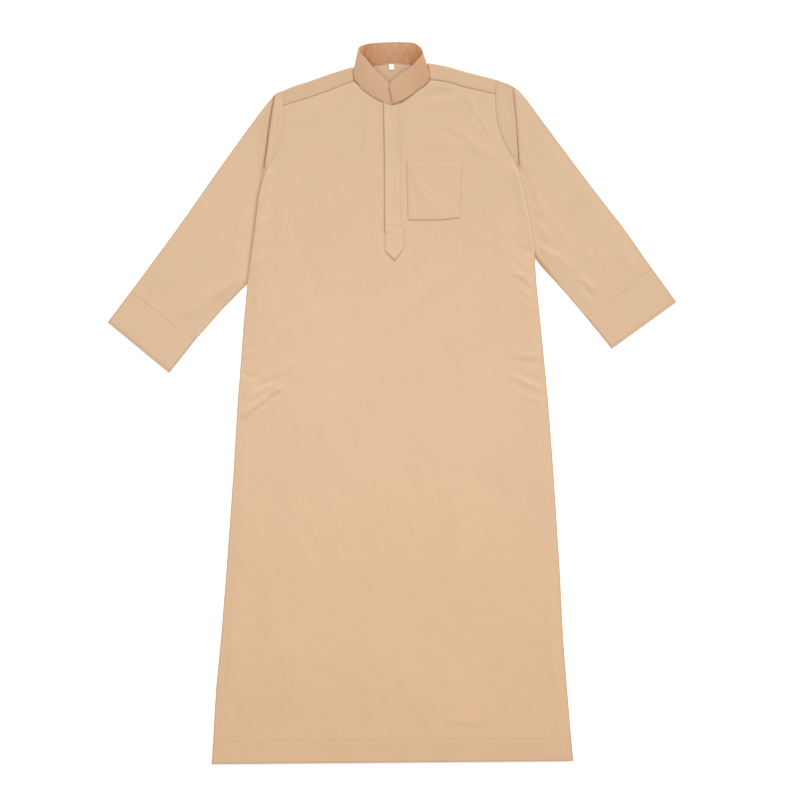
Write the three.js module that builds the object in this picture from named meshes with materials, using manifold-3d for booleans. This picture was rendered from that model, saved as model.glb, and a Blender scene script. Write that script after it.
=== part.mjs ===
// A plain ankle-length men's kurta of the thobe cut, with a band collar, laid out flat on its back.
// Millimetres. +X is the wearer's left, +Y runs from the hem to the collar, +Z is up from the table.
// Every cut piece of cloth is one closed wall, and sewn pieces stand SEAM_GAP apart.
import * as THREE from "three";
import { mergeVertices } from "three/addons/utils/BufferGeometryUtils.js";
import Module from "manifold-3d";

const wasm = await Module();
wasm.setup();

// ---------------------------------------------------------------- driving dimensions

const WALL = 1.2; // body and sleeve cloth
const SEAM_GAP = 0.3; // between two pieces that are sewn together
const CUFF_WALL = 1.6; // two layers of cloth and a light interlining
const COLLAR_WALL = 2.0; // two layers of cloth and a firm interlining
const LABEL_WALL = 1.0;
const HEM_WALL = 2.2; // the hem is turned up and sewn, so it is two layers thick

const HALF_LENGTH = 757.5; // half of the distance from the hem to the collar's top edge
const HEM_DEPTH = 46;
const HEM_STEP = 1; // length over which the turned hem's raw edge ends
const HEM_SETTLE = 50; // length over which the body comes down from the hem's thickness
const YOKE_BACK_SEAM_Y = 605; // the yoke's straight seam across the shoulder blades
const SLIT_X = 4.5; // centre-front slit under the placket
const SLIT_WIDTH = 1;
const SLIT_END_Y = 330;
const SLIT_PAST_NECK = 4; // the cut starts this far above the neck's lowest point

// Outer heights of the stacked layers, counted up from the table.
const BACK_TOP = WALL;
const TUCK_TOP = BACK_TOP + SEAM_GAP + WALL; // a sleeve's upper layer, and the front at its side seams
const BODY_TOP = TUCK_TOP + SEAM_GAP + WALL; // the front where another layer lies under it
const HEM_TOP = HEM_WALL + SEAM_GAP + HEM_WALL;

const CLOTH_COLOUR = 0xe4c29f;
const COLLAR_COLOUR = 0xdcb48e;
const LABEL_COLOUR = 0xf4f2ee;

// The hem runs between these, and its left end lies HEM_RISE nearer the collar.
const HEM_RIGHT_X = -378;
const HEM_LEFT_X = 380;
const HEM_RISE = 6.5;

// Side seams, from the underarm to the hem.
const SIDE_RIGHT = [
  { x: -303.5, y: 250 },
  { x: -311, y: 170 },
  { x: -319, y: 61 },
  { x: -323.5, y: 6.5 },
  { x: -332.5, y: -145 },
  { x: -347, y: -346.5 },
  { x: -359, y: -497.5 },
  { x: -369, y: -598.5 },
  { x: HEM_RIGHT_X, y: -HALF_LENGTH },
];
const SIDE_LEFT = [
  { x: 300, y: 305.5 },
  { x: 303, y: 254 },
  { x: 315, y: 136.5 },
  { x: 327.5, y: 6.5 },
  { x: 339, y: -145 },
  { x: 352, y: -346.5 },
  { x: 359.5, y: -497.5 },
  { x: 367.5, y: -598.5 },
  { x: HEM_LEFT_X, y: -HALF_LENGTH + HEM_RISE },
];

// Armholes, from the shoulder fold to the underarm. The cloth folds over at the crease. The sleeve's
// upper layer starts at the seam: it lies on top of the fold where lift is 1, and under the front
// where lift is 0. Where over is 1 the front reaches the crease, and elsewhere it stops at the seam.
const ARMHOLE_RIGHT = [
  { creaseX: -244.5, creaseY: 649.5, seamX: -230.5, seamY: 655, lift: 1, over: 0 },
  { creaseX: -248, creaseY: 630, seamX: -229, seamY: 632, lift: 1, over: 0 },
  { creaseX: -251, creaseY: 612, seamX: -229, seamY: 611, lift: 1, over: 0 },
  { creaseX: -257, creaseY: 571, seamX: -232, seamY: 575, lift: 1, over: 0 },
  { creaseX: -262, creaseY: 530, seamX: -242, seamY: 535, lift: 1, over: 0 },
  { creaseX: -266, creaseY: 505, seamX: -254, seamY: 508, lift: 1, over: 0 },
  { creaseX: -269.5, creaseY: 483.5, seamX: -266, seamY: 486, lift: 0, over: 0 },
  { creaseX: -274, creaseY: 462, seamX: -262, seamY: 463, lift: 0, over: 1 },
  { creaseX: -280.5, creaseY: 434.5, seamX: -266, seamY: 435, lift: 0, over: 1 },
  { creaseX: -287.5, creaseY: 376, seamX: -273, seamY: 377, lift: 0, over: 1 },
  { creaseX: -295.5, creaseY: 314, seamX: -284, seamY: 314, lift: 0, over: 1 },
  { creaseX: -299, creaseY: 285, seamX: -299.8, seamY: 285, lift: 0, over: 1 },
  { creaseX: -303.5, creaseY: 250, seamX: -304.3, seamY: 250.4, lift: 0, over: 1 },
];
const ARMHOLE_LEFT = [
  { creaseX: 251, creaseY: 666.5, seamX: 219, seamY: 678.5, lift: 1, over: 0 },
  { creaseX: 253, creaseY: 652, seamX: 217, seamY: 655, lift: 1, over: 0 },
  { creaseX: 255, creaseY: 627, seamX: 217.3, seamY: 626, lift: 1, over: 0 },
  { creaseX: 257.3, creaseY: 605, seamX: 218.6, seamY: 604, lift: 1, over: 0 },
  { creaseX: 259.2, creaseY: 583, seamX: 222.6, seamY: 582, lift: 1, over: 0 },
  { creaseX: 261, creaseY: 560, seamX: 229.5, seamY: 560, lift: 1, over: 0 },
  { creaseX: 263, creaseY: 532, seamX: 244, seamY: 531, lift: 1, over: 0 },
  { creaseX: 264.5, creaseY: 512, seamX: 255.5, seamY: 511, lift: 1, over: 0 },
  { creaseX: 266, creaseY: 490, seamX: 264.5, seamY: 491, lift: 0, over: 0 },
  { creaseX: 268.5, creaseY: 471, seamX: 257, seamY: 470, lift: 0, over: 1 },
  { creaseX: 276, creaseY: 445, seamX: 262, seamY: 444, lift: 0, over: 1 },
  { creaseX: 284, creaseY: 404.5, seamX: 270, seamY: 404, lift: 0, over: 1 },
  { creaseX: 292, creaseY: 364.5, seamX: 280, seamY: 364, lift: 0, over: 1 },
  { creaseX: 297, creaseY: 335, seamX: 297.8, seamY: 335, lift: 0, over: 1 },
  { creaseX: 300, creaseY: 305.5, seamX: 300.8, seamY: 305.9, lift: 0, over: 1 },
];
// The armhole seams of the layer on the table, from the shoulder fold to the underarm.
const BACK_ARMHOLE_RIGHT = [
  { x: -230.5, y: 655 },
  { x: -236, y: YOKE_BACK_SEAM_Y },
  { x: -243, y: 540 },
  { x: -252, y: 440 },
  { x: -272, y: 340 },
  { x: -303.5, y: 250 },
];
const BACK_ARMHOLE_LEFT = [
  { x: 219, y: 678.5 },
  { x: 228, y: YOKE_BACK_SEAM_Y },
  { x: 236, y: 550 },
  { x: 248, y: 460 },
  { x: 270, y: 375 },
  { x: 300, y: 305.5 },
];

// Sleeve edges, from the armhole to the cuff seam, and the cuffs' outer corners.
const SLEEVE_RIGHT = {
  seamTop: { x: -231, y: 654.8 },
  upper: [
    { x: -244.5, y: 649.5 },
    { x: -252, y: 640.5 },
    { x: -266.5, y: 623.5 },
    { x: -285.5, y: 598.5 },
    { x: -352.8, y: 506 },
    { x: -447.3, y: 371.7 },
    { x: -549, y: 233.2 },
  ],
  under: [
    { x: -304.3, y: 250.4 },
    { x: -318, y: 237 },
    { x: -334, y: 220 },
    { x: -355, y: 199 },
    { x: -380, y: 170 },
    { x: -411, y: 134.8 },
  ],
  cuffUpper: { x: -597, y: 170 },
  cuffUnder: { x: -467.5, y: 63.5 },
};
const SLEEVE_LEFT = {
  seamTop: { x: 219.5, y: 678.3 },
  upper: [
    { x: 251, y: 666.5 },
    { x: 264.5, y: 657.5 },
    { x: 280, y: 640 },
    { x: 329.7, y: 573.3 },
    { x: 430.5, y: 439 },
    { x: 483, y: 371.7 },
    { x: 548, y: 280 },
  ],
  under: [
    { x: 300.8, y: 305.9 },
    { x: 313, y: 289 },
    { x: 344.4, y: 254 },
    { x: 373.8, y: 220.5 },
    { x: 407, y: 181 },
  ],
  cuffUpper: { x: 597, y: 212.3 },
  cuffUnder: { x: 461.2, y: 114.3 },
};

// Shoulder folds of the yoke, from the armhole to the neck, and its front seams in the same order.
const SHOULDER_RIGHT = [
  { x: -230.5, y: 655 },
  { x: -206, y: 665.5 },
  { x: -178.5, y: 674 },
  { x: -130, y: 691 },
  { x: -83.6, y: 705.6 },
];
const SHOULDER_LEFT = [
  { x: 219, y: 678.5 },
  { x: 206, y: 682.5 },
  { x: 172, y: 691 },
  { x: 140.5, y: 699.5 },
  { x: 111.5, y: 707.5 },
  { x: 77.5, y: 713.3 },
];
const YOKE_SEAM_RIGHT = [
  { x: -229, y: 623.5 },
  { x: -174.5, y: 640.5 },
  { x: -130, y: 656.5 },
  { x: -88.5, y: 673 },
];
const YOKE_SEAM_LEFT = [
  { x: 217, y: 648 },
  { x: 183, y: 656 },
  { x: 148, y: 664 },
  { x: 127, y: 671 },
  { x: 105, y: 675.5 },
  { x: 86, y: 677 },
];
// Neck seam on the front, from the wearer's right to the left, and on the back of the yoke.
const NECK_FRONT = [
  { x: -88.5, y: 673 },
  { x: -72.5, y: 669.5 },
  { x: -61.5, y: 657.5 },
  { x: -45.5, y: 646 },
  { x: -27.5, y: 635 },
  { x: -11, y: 627.5 },
  { x: 0, y: 625.5 },
  { x: 8, y: 627 },
  { x: 22.5, y: 634.5 },
  { x: 41.5, y: 645.5 },
  { x: 54.5, y: 656.5 },
  { x: 67.5, y: 664.5 },
  { x: 79.5, y: 673.5 },
  { x: 86, y: 677 },
];
const NECK_BACK = [
  { x: -83.2, y: 702.4 },
  { x: -79.6, y: 699 },
  { x: -74.8, y: 702.7 },
  { x: -71.5, y: 704.4 },
  { x: -60, y: 706.2 },
  { x: -44, y: 707.1 },
  { x: -22, y: 710.1 },
  { x: 2, y: 712.6 },
  { x: 26, y: 711.6 },
  { x: 46, y: 708.6 },
  { x: 60, y: 707.1 },
  { x: 69, y: 704.4 },
  { x: 72, y: 702.7 },
  { x: 77, y: 699.6 },
  { x: 80.6, y: 703 },
];

// Collar band, a row for each station on its way round the neck: the wearer's right end lies under
// the left end at the centre front. Heights are those of the middle of the wall.
const COLLAR = [
  { seamX: 16, seamY: 631.5, seamZ: 4.3, topX: 12, topY: 666, topZ: 12.8 },
  { seamX: 1, seamY: 627.5, seamZ: 4.3, topX: 0, topY: 663.5, topZ: 13.2 },
  { seamX: -12, seamY: 629.5, seamZ: 4.3, topX: -4, topY: 667, topZ: 14.2 },
  { seamX: -28, seamY: 637.5, seamZ: 4.3, topX: -11, topY: 674, topZ: 15.4 },
  { seamX: -46, seamY: 648.5, seamZ: 4.3, topX: -24, topY: 687.5, topZ: 16.6 },
  { seamX: -62, seamY: 660, seamZ: 4.3, topX: -37, topY: 699.5, topZ: 16.4 },
  { seamX: -73, seamY: 671.5, seamZ: 4.3, topX: -48, topY: 713, topZ: 15.4 },
  { seamX: -83.5, seamY: 678, seamZ: 4.2, topX: -57, topY: 724.5, topZ: 13.6 },
  { seamX: -86, seamY: 687, seamZ: 3.6, topX: -65, topY: 734, topZ: 10.6 },
  { seamX: -84, seamY: 697, seamZ: 2.8, topX: -69, topY: 742, topZ: 6.6 },
  { seamX: -76, seamY: 705, seamZ: 1.0, topX: -67, topY: 748, topZ: 3.0 },
  { seamX: -60, seamY: 706.6, seamZ: 1.0, topX: -54, topY: 753, topZ: 1.5 },
  { seamX: -44, seamY: 707.5, seamZ: 1.0, topX: -42, topY: 755, topZ: 1.0 },
  { seamX: -22, seamY: 710.5, seamZ: 1.0, topX: -22, topY: 756.6, topZ: 1.0 },
  { seamX: 2, seamY: 713, seamZ: 1.0, topX: 3, topY: HALF_LENGTH, topZ: 1.0 },
  { seamX: 26, seamY: 712, seamZ: 1.0, topX: 27, topY: 757.2, topZ: 1.0 },
  { seamX: 46, seamY: 709, seamZ: 1.0, topX: 44, topY: 755.8, topZ: 1.0 },
  { seamX: 60, seamY: 707.5, seamZ: 1.0, topX: 53, topY: 752, topZ: 1.6 },
  { seamX: 73, seamY: 705, seamZ: 1.0, topX: 61, topY: 745.5, topZ: 3.4 },
  { seamX: 81, seamY: 697, seamZ: 2.8, topX: 65, topY: 738, topZ: 7.2 },
  { seamX: 83.5, seamY: 686, seamZ: 3.6, topX: 63.5, topY: 730.5, topZ: 11.4 },
  { seamX: 79, seamY: 676, seamZ: 4.2, topX: 56, topY: 721.5, topZ: 14.8 },
  { seamX: 67, seamY: 666.5, seamZ: 4.4, topX: 46, topY: 710, topZ: 17 },
  { seamX: 54, seamY: 658.5, seamZ: 4.8, topX: 35, topY: 699.5, topZ: 18.4 },
  { seamX: 41, seamY: 648, seamZ: 6, topX: 24, topY: 693, topZ: 19.2 },
  { seamX: 29, seamY: 640.5, seamZ: 7.2, topX: 13.5, topY: 685, topZ: 19.5 },
  { seamX: 17, seamY: 634, seamZ: 8.2, topX: 4, topY: 677, topZ: 19.2 },
  { seamX: 6.5, seamY: 629.5, seamZ: 8.6, topX: -5, topY: 667.5, topZ: 18.6 },
];
const COLLAR_STEPS = 2; // rings to each row of the table
const COLLAR_ROWS = [0, 0.33, 0.66, 1]; // from the neck seam to the top edge
const COLLAR_BULGE = 1.4; // the band is curved a little across its height

// Placket: its outline from the neck to the pointed tab, and the strip below the slit.
const PLACKET = {
  left: -15.5,
  rightTop: 18,
  rightLow: 24.5,
  top: 634,
  shoulder: 321.5,
  pointX: 6.5,
  point: 296.5,
};
const UNDER_PLACKET = { left: -11, right: 20, top: 622, bottom: 316 };
const PLACKET_ROWS = 22;
const PLACKET_ACROSS = 4;
const TAB_ROWS = 3; // rows over which the tab closes to its point

// Chest pocket, on the wearer's left breast.
const POCKET_TOP = { left: 31, right: 148.5, y: 507 };
const POCKET_FOOT = [
  { x: 33, y: 384 },
  { x: 105.5, y: 384 },
  { x: 144, y: 388.5 },
];
const POCKET_COLUMNS = 9;
const POCKET_ROWS = 9;

// The label hangs from the neck seam inside the back.
const LABEL = { left: -6.5, right: 4.5, top: 711.2, bottom: 699.5 };

// Soft folds: a ridge along the line from x0, y0 to x1, y1, with its height and half width.
const FRONT_FOLDS = [
  { x0: -302, y0: -10, x1: -231, y1: 36, height: 1.3, half: 15 },
  { x0: -216, y0: 90, x1: -256, y1: 30, height: 0.9, half: 16 },
  { x0: 250, y0: 271, x1: 286, y1: 255, height: 0.8, half: 14 },
  { x0: 250, y0: 101, x1: 300, y1: 101, height: 1.0, half: 15 },
  { x0: 255, y0: 54, x1: 304, y1: 27, height: 1.0, half: 15 },
  { x0: 120, y0: 640, x1: 205, y1: 565, height: 1.3, half: 16 },
  { x0: 160, y0: 640, x1: 215, y1: 600, height: 0.9, half: 14 },
  { x0: 95, y0: 540, x1: 205, y1: 526, height: 0.7, half: 15 },
  { x0: 62, y0: 636, x1: 113, y1: 652, height: 0.8, half: 13 },
  { x0: -52, y0: 600, x1: -60, y1: 545, height: 0.9, half: 15 },
  { x0: -120, y0: 640, x1: -215, y1: 560, height: 0.7, half: 18 },
  { x0: 40, y0: 205, x1: 113, y1: 269, height: 0.9, half: 18 },
  { x0: -235, y0: 420, x1: -262, y1: 290, height: 0.9, half: 18 },
  { x0: -60, y0: -150, x1: -90, y1: -420, height: 0.6, half: 28 },
  { x0: 130, y0: -120, x1: 150, y1: -420, height: 0.6, half: 28 },
  { x0: 150, y0: -650, x1: 175, y1: -690, height: 0.7, half: 20 },
];
const SLEEVE_RIGHT_FOLDS = [
  { x0: -285, y0: 520, x1: -330, y1: 330, height: 0.9, half: 18 },
  { x0: -330, y0: 260, x1: -420, y1: 190, height: 0.8, half: 16 },
  { x0: -400, y0: 400, x1: -470, y1: 260, height: 0.7, half: 20 },
];
const SLEEVE_LEFT_FOLDS = [
  { x0: 275, y0: 560, x1: 300, y1: 400, height: 0.9, half: 18 },
  { x0: 320, y0: 480, x1: 350, y1: 350, height: 0.8, half: 18 },
  { x0: 340, y0: 320, x1: 430, y1: 230, height: 1.0, half: 16 },
  { x0: 400, y0: 330, x1: 480, y1: 240, height: 0.8, half: 18 },
];
const SLEEVE_LOFT = 1.3; // rise of a sleeve's upper layer between its edges
const CUFF_LOFT = 0.8;

// ---------------------------------------------------------------- small helpers

const WELD = 1e-3; // points this near each other are one
const TOUCHING = 1e-6; // a wall this near the table lies on it

const mix = (a, b, t) => a + (b - a) * t;
const clamp01 = (t) => Math.min(1, Math.max(0, t));
const smooth = (t) => clamp01(t) * clamp01(t) * (3 - 2 * clamp01(t));

// X along a list of points that runs steadily up or down in Y.
function xAt(points, y) {
  const rising = points[points.length - 1].y > points[0].y;
  const list = rising ? points : [...points].reverse();
  if (y <= list[0].y) return list[0].x;
  for (let i = 1; i < list.length; i++) {
    const a = list[i - 1];
    const b = list[i];
    if (y <= b.y) return mix(a.x, b.x, (y - a.y) / (b.y - a.y));
  }
  return list[list.length - 1].x;
}

// Y along a list of points that runs steadily up in X.
function yAt(points, x) {
  if (x <= points[0].x) return points[0].y;
  for (let i = 1; i < points.length; i++) {
    const a = points[i - 1];
    const b = points[i];
    if (x <= b.x) return mix(a.y, b.y, (x - a.x) / (b.x - a.x));
  }
  return points[points.length - 1].y;
}

// A smooth curve through flat points, read by its share of the length.
function curveThrough(points) {
  const spaced = points.map((p) => new THREE.Vector3(p.x, p.y, 0));
  return new THREE.CatmullRomCurve3(spaced, false, "centripetal");
}

// Height of a set of soft ridges above the plain cloth.
function ridges(folds, x, y) {
  let rise = 0;
  for (const fold of folds) {
    const along = new THREE.Vector2(fold.x1 - fold.x0, fold.y1 - fold.y0);
    const length = along.length();
    along.divideScalar(length);
    const s = (x - fold.x0) * along.x + (y - fold.y0) * along.y;
    const off = (y - fold.y0) * along.x - (x - fold.x0) * along.y;
    const beyond = Math.max(0, -s, s - length);
    const away = (off * off + beyond * beyond) / (fold.half * fold.half);
    rise = Math.max(rise, fold.height * Math.exp(-away / 2));
  }
  return rise;
}

// A closed wall between two grids of points: outer[row][column] and inner[row][column]. The rows of a
// tube go all the way round, so its last row meets its first.
function wallBetween(outer, inner, tube = false) {
  const rows = outer.length;
  const columns = outer[0].length;
  const positions = [];
  for (const grid of [outer, inner]) {
    for (const row of grid) row.forEach((p) => positions.push(p.x, p.y, p.z));
  }
  const top = (i, j) => (i % rows) * columns + j;
  const low = (i, j) => rows * columns + top(i, j);
  const index = [];
  const quad = (a, b, c, d) => index.push(a, b, c, a, c, d);
  for (let i = 0; i < (tube ? rows : rows - 1); i++) {
    for (let j = 0; j + 1 < columns; j++) {
      quad(top(i, j), top(i, j + 1), top(i + 1, j + 1), top(i + 1, j));
      quad(low(i, j), low(i + 1, j), low(i + 1, j + 1), low(i, j + 1));
    }
    quad(top(i, 0), top(i + 1, 0), low(i + 1, 0), low(i, 0));
    quad(top(i + 1, columns - 1), top(i, columns - 1), low(i, columns - 1), low(i + 1, columns - 1));
  }
  for (let j = 0; j + 1 < columns && !tube; j++) {
    quad(top(0, j + 1), top(0, j), low(0, j), low(0, j + 1));
    quad(top(rows - 1, j), top(rows - 1, j + 1), low(rows - 1, j + 1), low(rows - 1, j));
  }
  const geometry = new THREE.BufferGeometry();
  geometry.setAttribute("position", new THREE.Float32BufferAttribute(positions, 3));
  geometry.setIndex(index);
  return facingOut(geometry);
}

// The same geometry with its faces turned outwards.
function facingOut(geometry) {
  const position = geometry.getAttribute("position");
  const index = geometry.getIndex().array;
  const a = new THREE.Vector3();
  const b = new THREE.Vector3();
  const c = new THREE.Vector3();
  let volume = 0;
  for (let i = 0; i < index.length; i += 3) {
    a.fromBufferAttribute(position, index[i]);
    b.fromBufferAttribute(position, index[i + 1]);
    c.fromBufferAttribute(position, index[i + 2]);
    volume += a.dot(b.cross(c));
  }
  if (volume < 0) {
    for (let i = 0; i < index.length; i += 3) {
      const kept = index[i + 1];
      index[i + 1] = index[i + 2];
      index[i + 2] = kept;
    }
  }
  return geometry;
}

// A wall of even thickness on both sides of a grid of middle points. Where the middle is half the
// thickness above the table, the wall lies flat on it.
function wallAlong(middle, thickness, tube = false) {
  const rows = middle.length;
  const columns = middle[0].length;
  const outer = [];
  const inner = [];
  for (let i = 0; i < rows; i++) {
    const next = tube ? (i + 1) % rows : Math.min(rows - 1, i + 1);
    const last = tube ? (i + rows - 1) % rows : Math.max(0, i - 1);
    outer.push([]);
    inner.push([]);
    for (let j = 0; j < columns; j++) {
      const across = middle[next][j].clone().sub(middle[last][j]);
      const along = middle[i][Math.min(columns - 1, j + 1)].clone().sub(middle[i][Math.max(0, j - 1)]);
      const normal = across.cross(along).normalize();
      if (Math.abs(middle[i][j].z - thickness / 2) < TOUCHING) normal.set(0, 0, Math.sign(normal.z));
      normal.multiplyScalar(thickness / 2);
      outer[i].push(middle[i][j].clone().add(normal));
      inner[i].push(middle[i][j].clone().sub(normal));
    }
  }
  return wallBetween(outer, inner, tube);
}

// A flat piece of cloth with the given outline.
function flatPiece(outline, bottom, top) {
  const shape = new THREE.Shape(outline.map((p) => new THREE.Vector2(p.x, p.y)));
  const geometry = new THREE.ExtrudeGeometry(shape, { depth: top - bottom, bevelEnabled: false });
  return geometry.translate(0, 0, bottom);
}

// A geometry as a solid that can be cut and joined.
function solidOf(geometry) {
  const bare = new THREE.BufferGeometry();
  bare.setAttribute("position", geometry.getAttribute("position"));
  if (geometry.getIndex()) bare.setIndex(geometry.getIndex());
  const merged = mergeVertices(bare, WELD);
  return new wasm.Manifold(
    new wasm.Mesh({
      numProp: 3,
      vertProperties: new Float32Array(merged.getAttribute("position").array),
      triVerts: new Uint32Array(merged.getIndex().array),
    }),
  );
}

// A solid back as a geometry.
function geometryOf(solid) {
  const mesh = solid.getMesh();
  const positions = new Float32Array(mesh.numVert * 3);
  for (let i = 0; i < mesh.numVert; i++) {
    const start = i * mesh.numProp;
    positions.set(mesh.vertProperties.subarray(start, start + 3), i * 3);
  }
  const geometry = new THREE.BufferGeometry();
  geometry.setAttribute("position", new THREE.BufferAttribute(positions, 3));
  geometry.setIndex(new THREE.BufferAttribute(new Uint32Array(mesh.triVerts), 1));
  return geometry;
}

// Several solids as one.
const joined = (...pieces) => geometryOf(pieces.map(solidOf).reduce((whole, piece) => whole.add(piece)));

// ---------------------------------------------------------------- front panel

const EDGE_INSETS = [0, 4, 11, 22]; // columns beside each edge, where the cloth rolls down to a seam
const FRONT_COLUMNS = 24; // columns between those of the two edges
const NECK_ROWS = 4; // rows from CHEST_Y up to the neck and the yoke seams
const CHEST_Y = 560;
const UNDERARM_REACH = 29.5; // length over which the front's edge rises over the sleeve
const HEM_LINE_Y = -HALF_LENGTH + HEM_DEPTH;
const SKIRT_ROWS = 22;
const SKIRT_STEP = (SIDE_RIGHT[0].y - HEM_LINE_Y - HEM_SETTLE) / SKIRT_ROWS;
const FACET_ROOM = 0.15; // room for the flat facets of two curved walls
const HEM_EDGE_ROW = 6; // height of the row beside the hem's folded edge
const ARMHOLE_ROW_YS = [250, 285, 305.5, 335, 364.5, 390, 414, 438, 462, 486, 508, 534];
const FRONT_ROW_YS = [
  -HALF_LENGTH,
  -HALF_LENGTH + HEM_EDGE_ROW,
  HEM_LINE_Y - HEM_STEP,
  HEM_LINE_Y,
  ...Array.from({ length: SKIRT_ROWS }, (unused, i) => HEM_LINE_Y + HEM_SETTLE + i * SKIRT_STEP),
  ...ARMHOLE_ROW_YS,
  CHEST_Y,
];

// The front's edge at an armhole, from the underarm to the yoke seam.
function frontArmhole(armhole, side, seamTopY) {
  const gap = SEAM_GAP + FACET_ROOM;
  const points = armhole
    .filter((row) => row.seamY < seamTopY)
    .map((row) => (row.over ? { x: row.creaseX, y: row.creaseY } : { x: row.seamX - side * gap, y: row.seamY }));
  return points.reverse();
}

const FRONT_EDGE_RIGHT = [
  ...[...SIDE_RIGHT].reverse(),
  ...frontArmhole(ARMHOLE_RIGHT, -1, YOKE_SEAM_RIGHT[0].y).slice(1),
  { x: YOKE_SEAM_RIGHT[0].x + SEAM_GAP, y: YOKE_SEAM_RIGHT[0].y },
];
const FRONT_EDGE_LEFT = [
  ...[...SIDE_LEFT].reverse(),
  ...frontArmhole(ARMHOLE_LEFT, 1, YOKE_SEAM_LEFT[0].y).slice(1),
  { x: YOKE_SEAM_LEFT[0].x - SEAM_GAP, y: YOKE_SEAM_LEFT[0].y },
];
const FRONT_TOP_EDGE = [
  ...YOKE_SEAM_RIGHT,
  ...NECK_FRONT.slice(1),
  ...[...YOKE_SEAM_LEFT].reverse().slice(1),
];

// How much higher than its right end the hem lies at x.
const hemRise = (x) => (HEM_RISE * (x - HEM_RIGHT_X)) / (HEM_LEFT_X - HEM_RIGHT_X);

// Height of the front's outer face at its side edge: down at the side seam, up over the sleeve.
function edgeTop(y, underarm) {
  const hem = mix(HEM_TOP, TUCK_TOP, smooth((y - HEM_LINE_Y) / HEM_SETTLE));
  return mix(hem, BODY_TOP, clamp01((y - underarm.y) / UNDERARM_REACH));
}

// Height of the front's outer face anywhere.
function frontTop(x, y) {
  const fromRight = x - xAt(FRONT_EDGE_RIGHT, y);
  const fromLeft = xAt(FRONT_EDGE_LEFT, y) - x;
  const nearest = Math.min(fromRight, fromLeft);
  const edge = edgeTop(y, fromRight < fromLeft ? SIDE_RIGHT[0] : SIDE_LEFT[0]);
  const middle = mix(HEM_TOP, BODY_TOP, smooth((y - HEM_LINE_Y) / HEM_SETTLE));
  const inward = smooth(nearest / EDGE_INSETS[3]);
  return mix(edge, middle, inward) + ridges(FRONT_FOLDS, x, y) * smooth(nearest / EDGE_INSETS[2]);
}

// Wall of the front at a height: two layers at the turned hem.
function frontWall(y) {
  return y < HEM_LINE_Y - HEM_STEP / 2 ? HEM_WALL : WALL;
}

// Points across one row of the front, between its right and left ends.
function acrossFront(right, left) {
  const width = left - right;
  const xs = EDGE_INSETS.map((inset) => right + inset);
  const inner = EDGE_INSETS[EDGE_INSETS.length - 1];
  for (let k = 1; k <= FRONT_COLUMNS; k++) {
    xs.push(right + inner + ((width - 2 * inner) * k) / (FRONT_COLUMNS + 1));
  }
  return [...xs, ...[...EDGE_INSETS].reverse().map((inset) => left - inset)];
}

function frontPanel() {
  const outer = [];
  const inner = [];
  const addRow = (xs, yOf, wall) => {
    const points = xs.map((x) => new THREE.Vector3(x, yOf(x), frontTop(x, yOf(x))));
    outer.push(points);
    inner.push(points.map((p) => p.clone().setZ(p.z - wall)));
  };
  for (const y of FRONT_ROW_YS) {
    const xs = acrossFront(xAt(FRONT_EDGE_RIGHT, y), xAt(FRONT_EDGE_LEFT, y));
    const hemShare = 1 - smooth((y + HALF_LENGTH) / (HEM_DEPTH + HEM_SETTLE));
    addRow(xs, (x) => y + hemRise(x) * hemShare, frontWall(y));
  }
  for (let k = 1; k <= NECK_ROWS; k++) {
    const share = k / NECK_ROWS;
    const right = xAt(FRONT_EDGE_RIGHT, mix(CHEST_Y, YOKE_SEAM_RIGHT[0].y, share));
    const left = xAt(FRONT_EDGE_LEFT, mix(CHEST_Y, YOKE_SEAM_LEFT[0].y, share));
    addRow(acrossFront(right, left), (x) => mix(CHEST_Y, yAt(FRONT_TOP_EDGE, x) - SEAM_GAP, share), WALL);
  }
  const neckLow = Math.min(...NECK_FRONT.map((p) => p.y));
  const slitLength = neckLow + SLIT_PAST_NECK - SLIT_END_Y;
  const slit = new THREE.BoxGeometry(SLIT_WIDTH, slitLength, 4 * HEM_TOP);
  slit.translate(SLIT_X, SLIT_END_Y + slitLength / 2, 0);
  return geometryOf(solidOf(wallBetween(outer, inner)).subtract(solidOf(slit)));
}

// ---------------------------------------------------------------- back panel and yoke

// Where the yoke's back seam meets an armhole.
const yokeEnd = (armhole) => armhole.find((p) => p.y === YOKE_BACK_SEAM_Y);

// The back panel's armhole edge, from the yoke seam down to the underarm.
function backArmholeEdge(armhole, side) {
  const gap = SEAM_GAP + FACET_ROOM;
  const yokeCorner = { x: yokeEnd(armhole).x, y: YOKE_BACK_SEAM_Y - SEAM_GAP };
  const below = armhole.filter((p) => p.y < YOKE_BACK_SEAM_Y).slice(0, -1);
  return [yokeCorner, ...below].map((p) => ({ x: p.x - side * gap, y: p.y }));
}

function backPanel() {
  const hemLeft = SIDE_LEFT[SIDE_LEFT.length - 1];
  const outline = [
    ...SIDE_RIGHT,
    hemLeft,
    ...[...SIDE_LEFT].reverse().slice(1),
    ...backArmholeEdge(BACK_ARMHOLE_LEFT, 1).reverse(),
    ...backArmholeEdge(BACK_ARMHOLE_RIGHT, -1),
  ];
  const turnedHem = [
    SIDE_RIGHT[SIDE_RIGHT.length - 1],
    hemLeft,
    { x: xAt(SIDE_LEFT, HEM_LINE_Y), y: HEM_LINE_Y - HEM_STEP },
    { x: xAt(SIDE_RIGHT, HEM_LINE_Y), y: HEM_LINE_Y - HEM_STEP },
  ];
  return joined(flatPiece(outline, 0, BACK_TOP), flatPiece(turnedHem, BACK_TOP / 2, HEM_WALL));
}

const ROLL_INSET = WALL / 2 + SEAM_GAP; // the middle of the strip's wall where it turns over the shoulder
const TURN_INSET = 1.5; // inset where the turned wall is halfway up
const TURN_END = 4; // inset where the strip is flat again
const STRIP_COLUMNS = 9;
const NECK_END_BULGE = 2.6; // the strip's end curves round the side of the neck
const NECK_END_SHARPNESS = 6; // how soon that curve dies away along the strip

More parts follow.
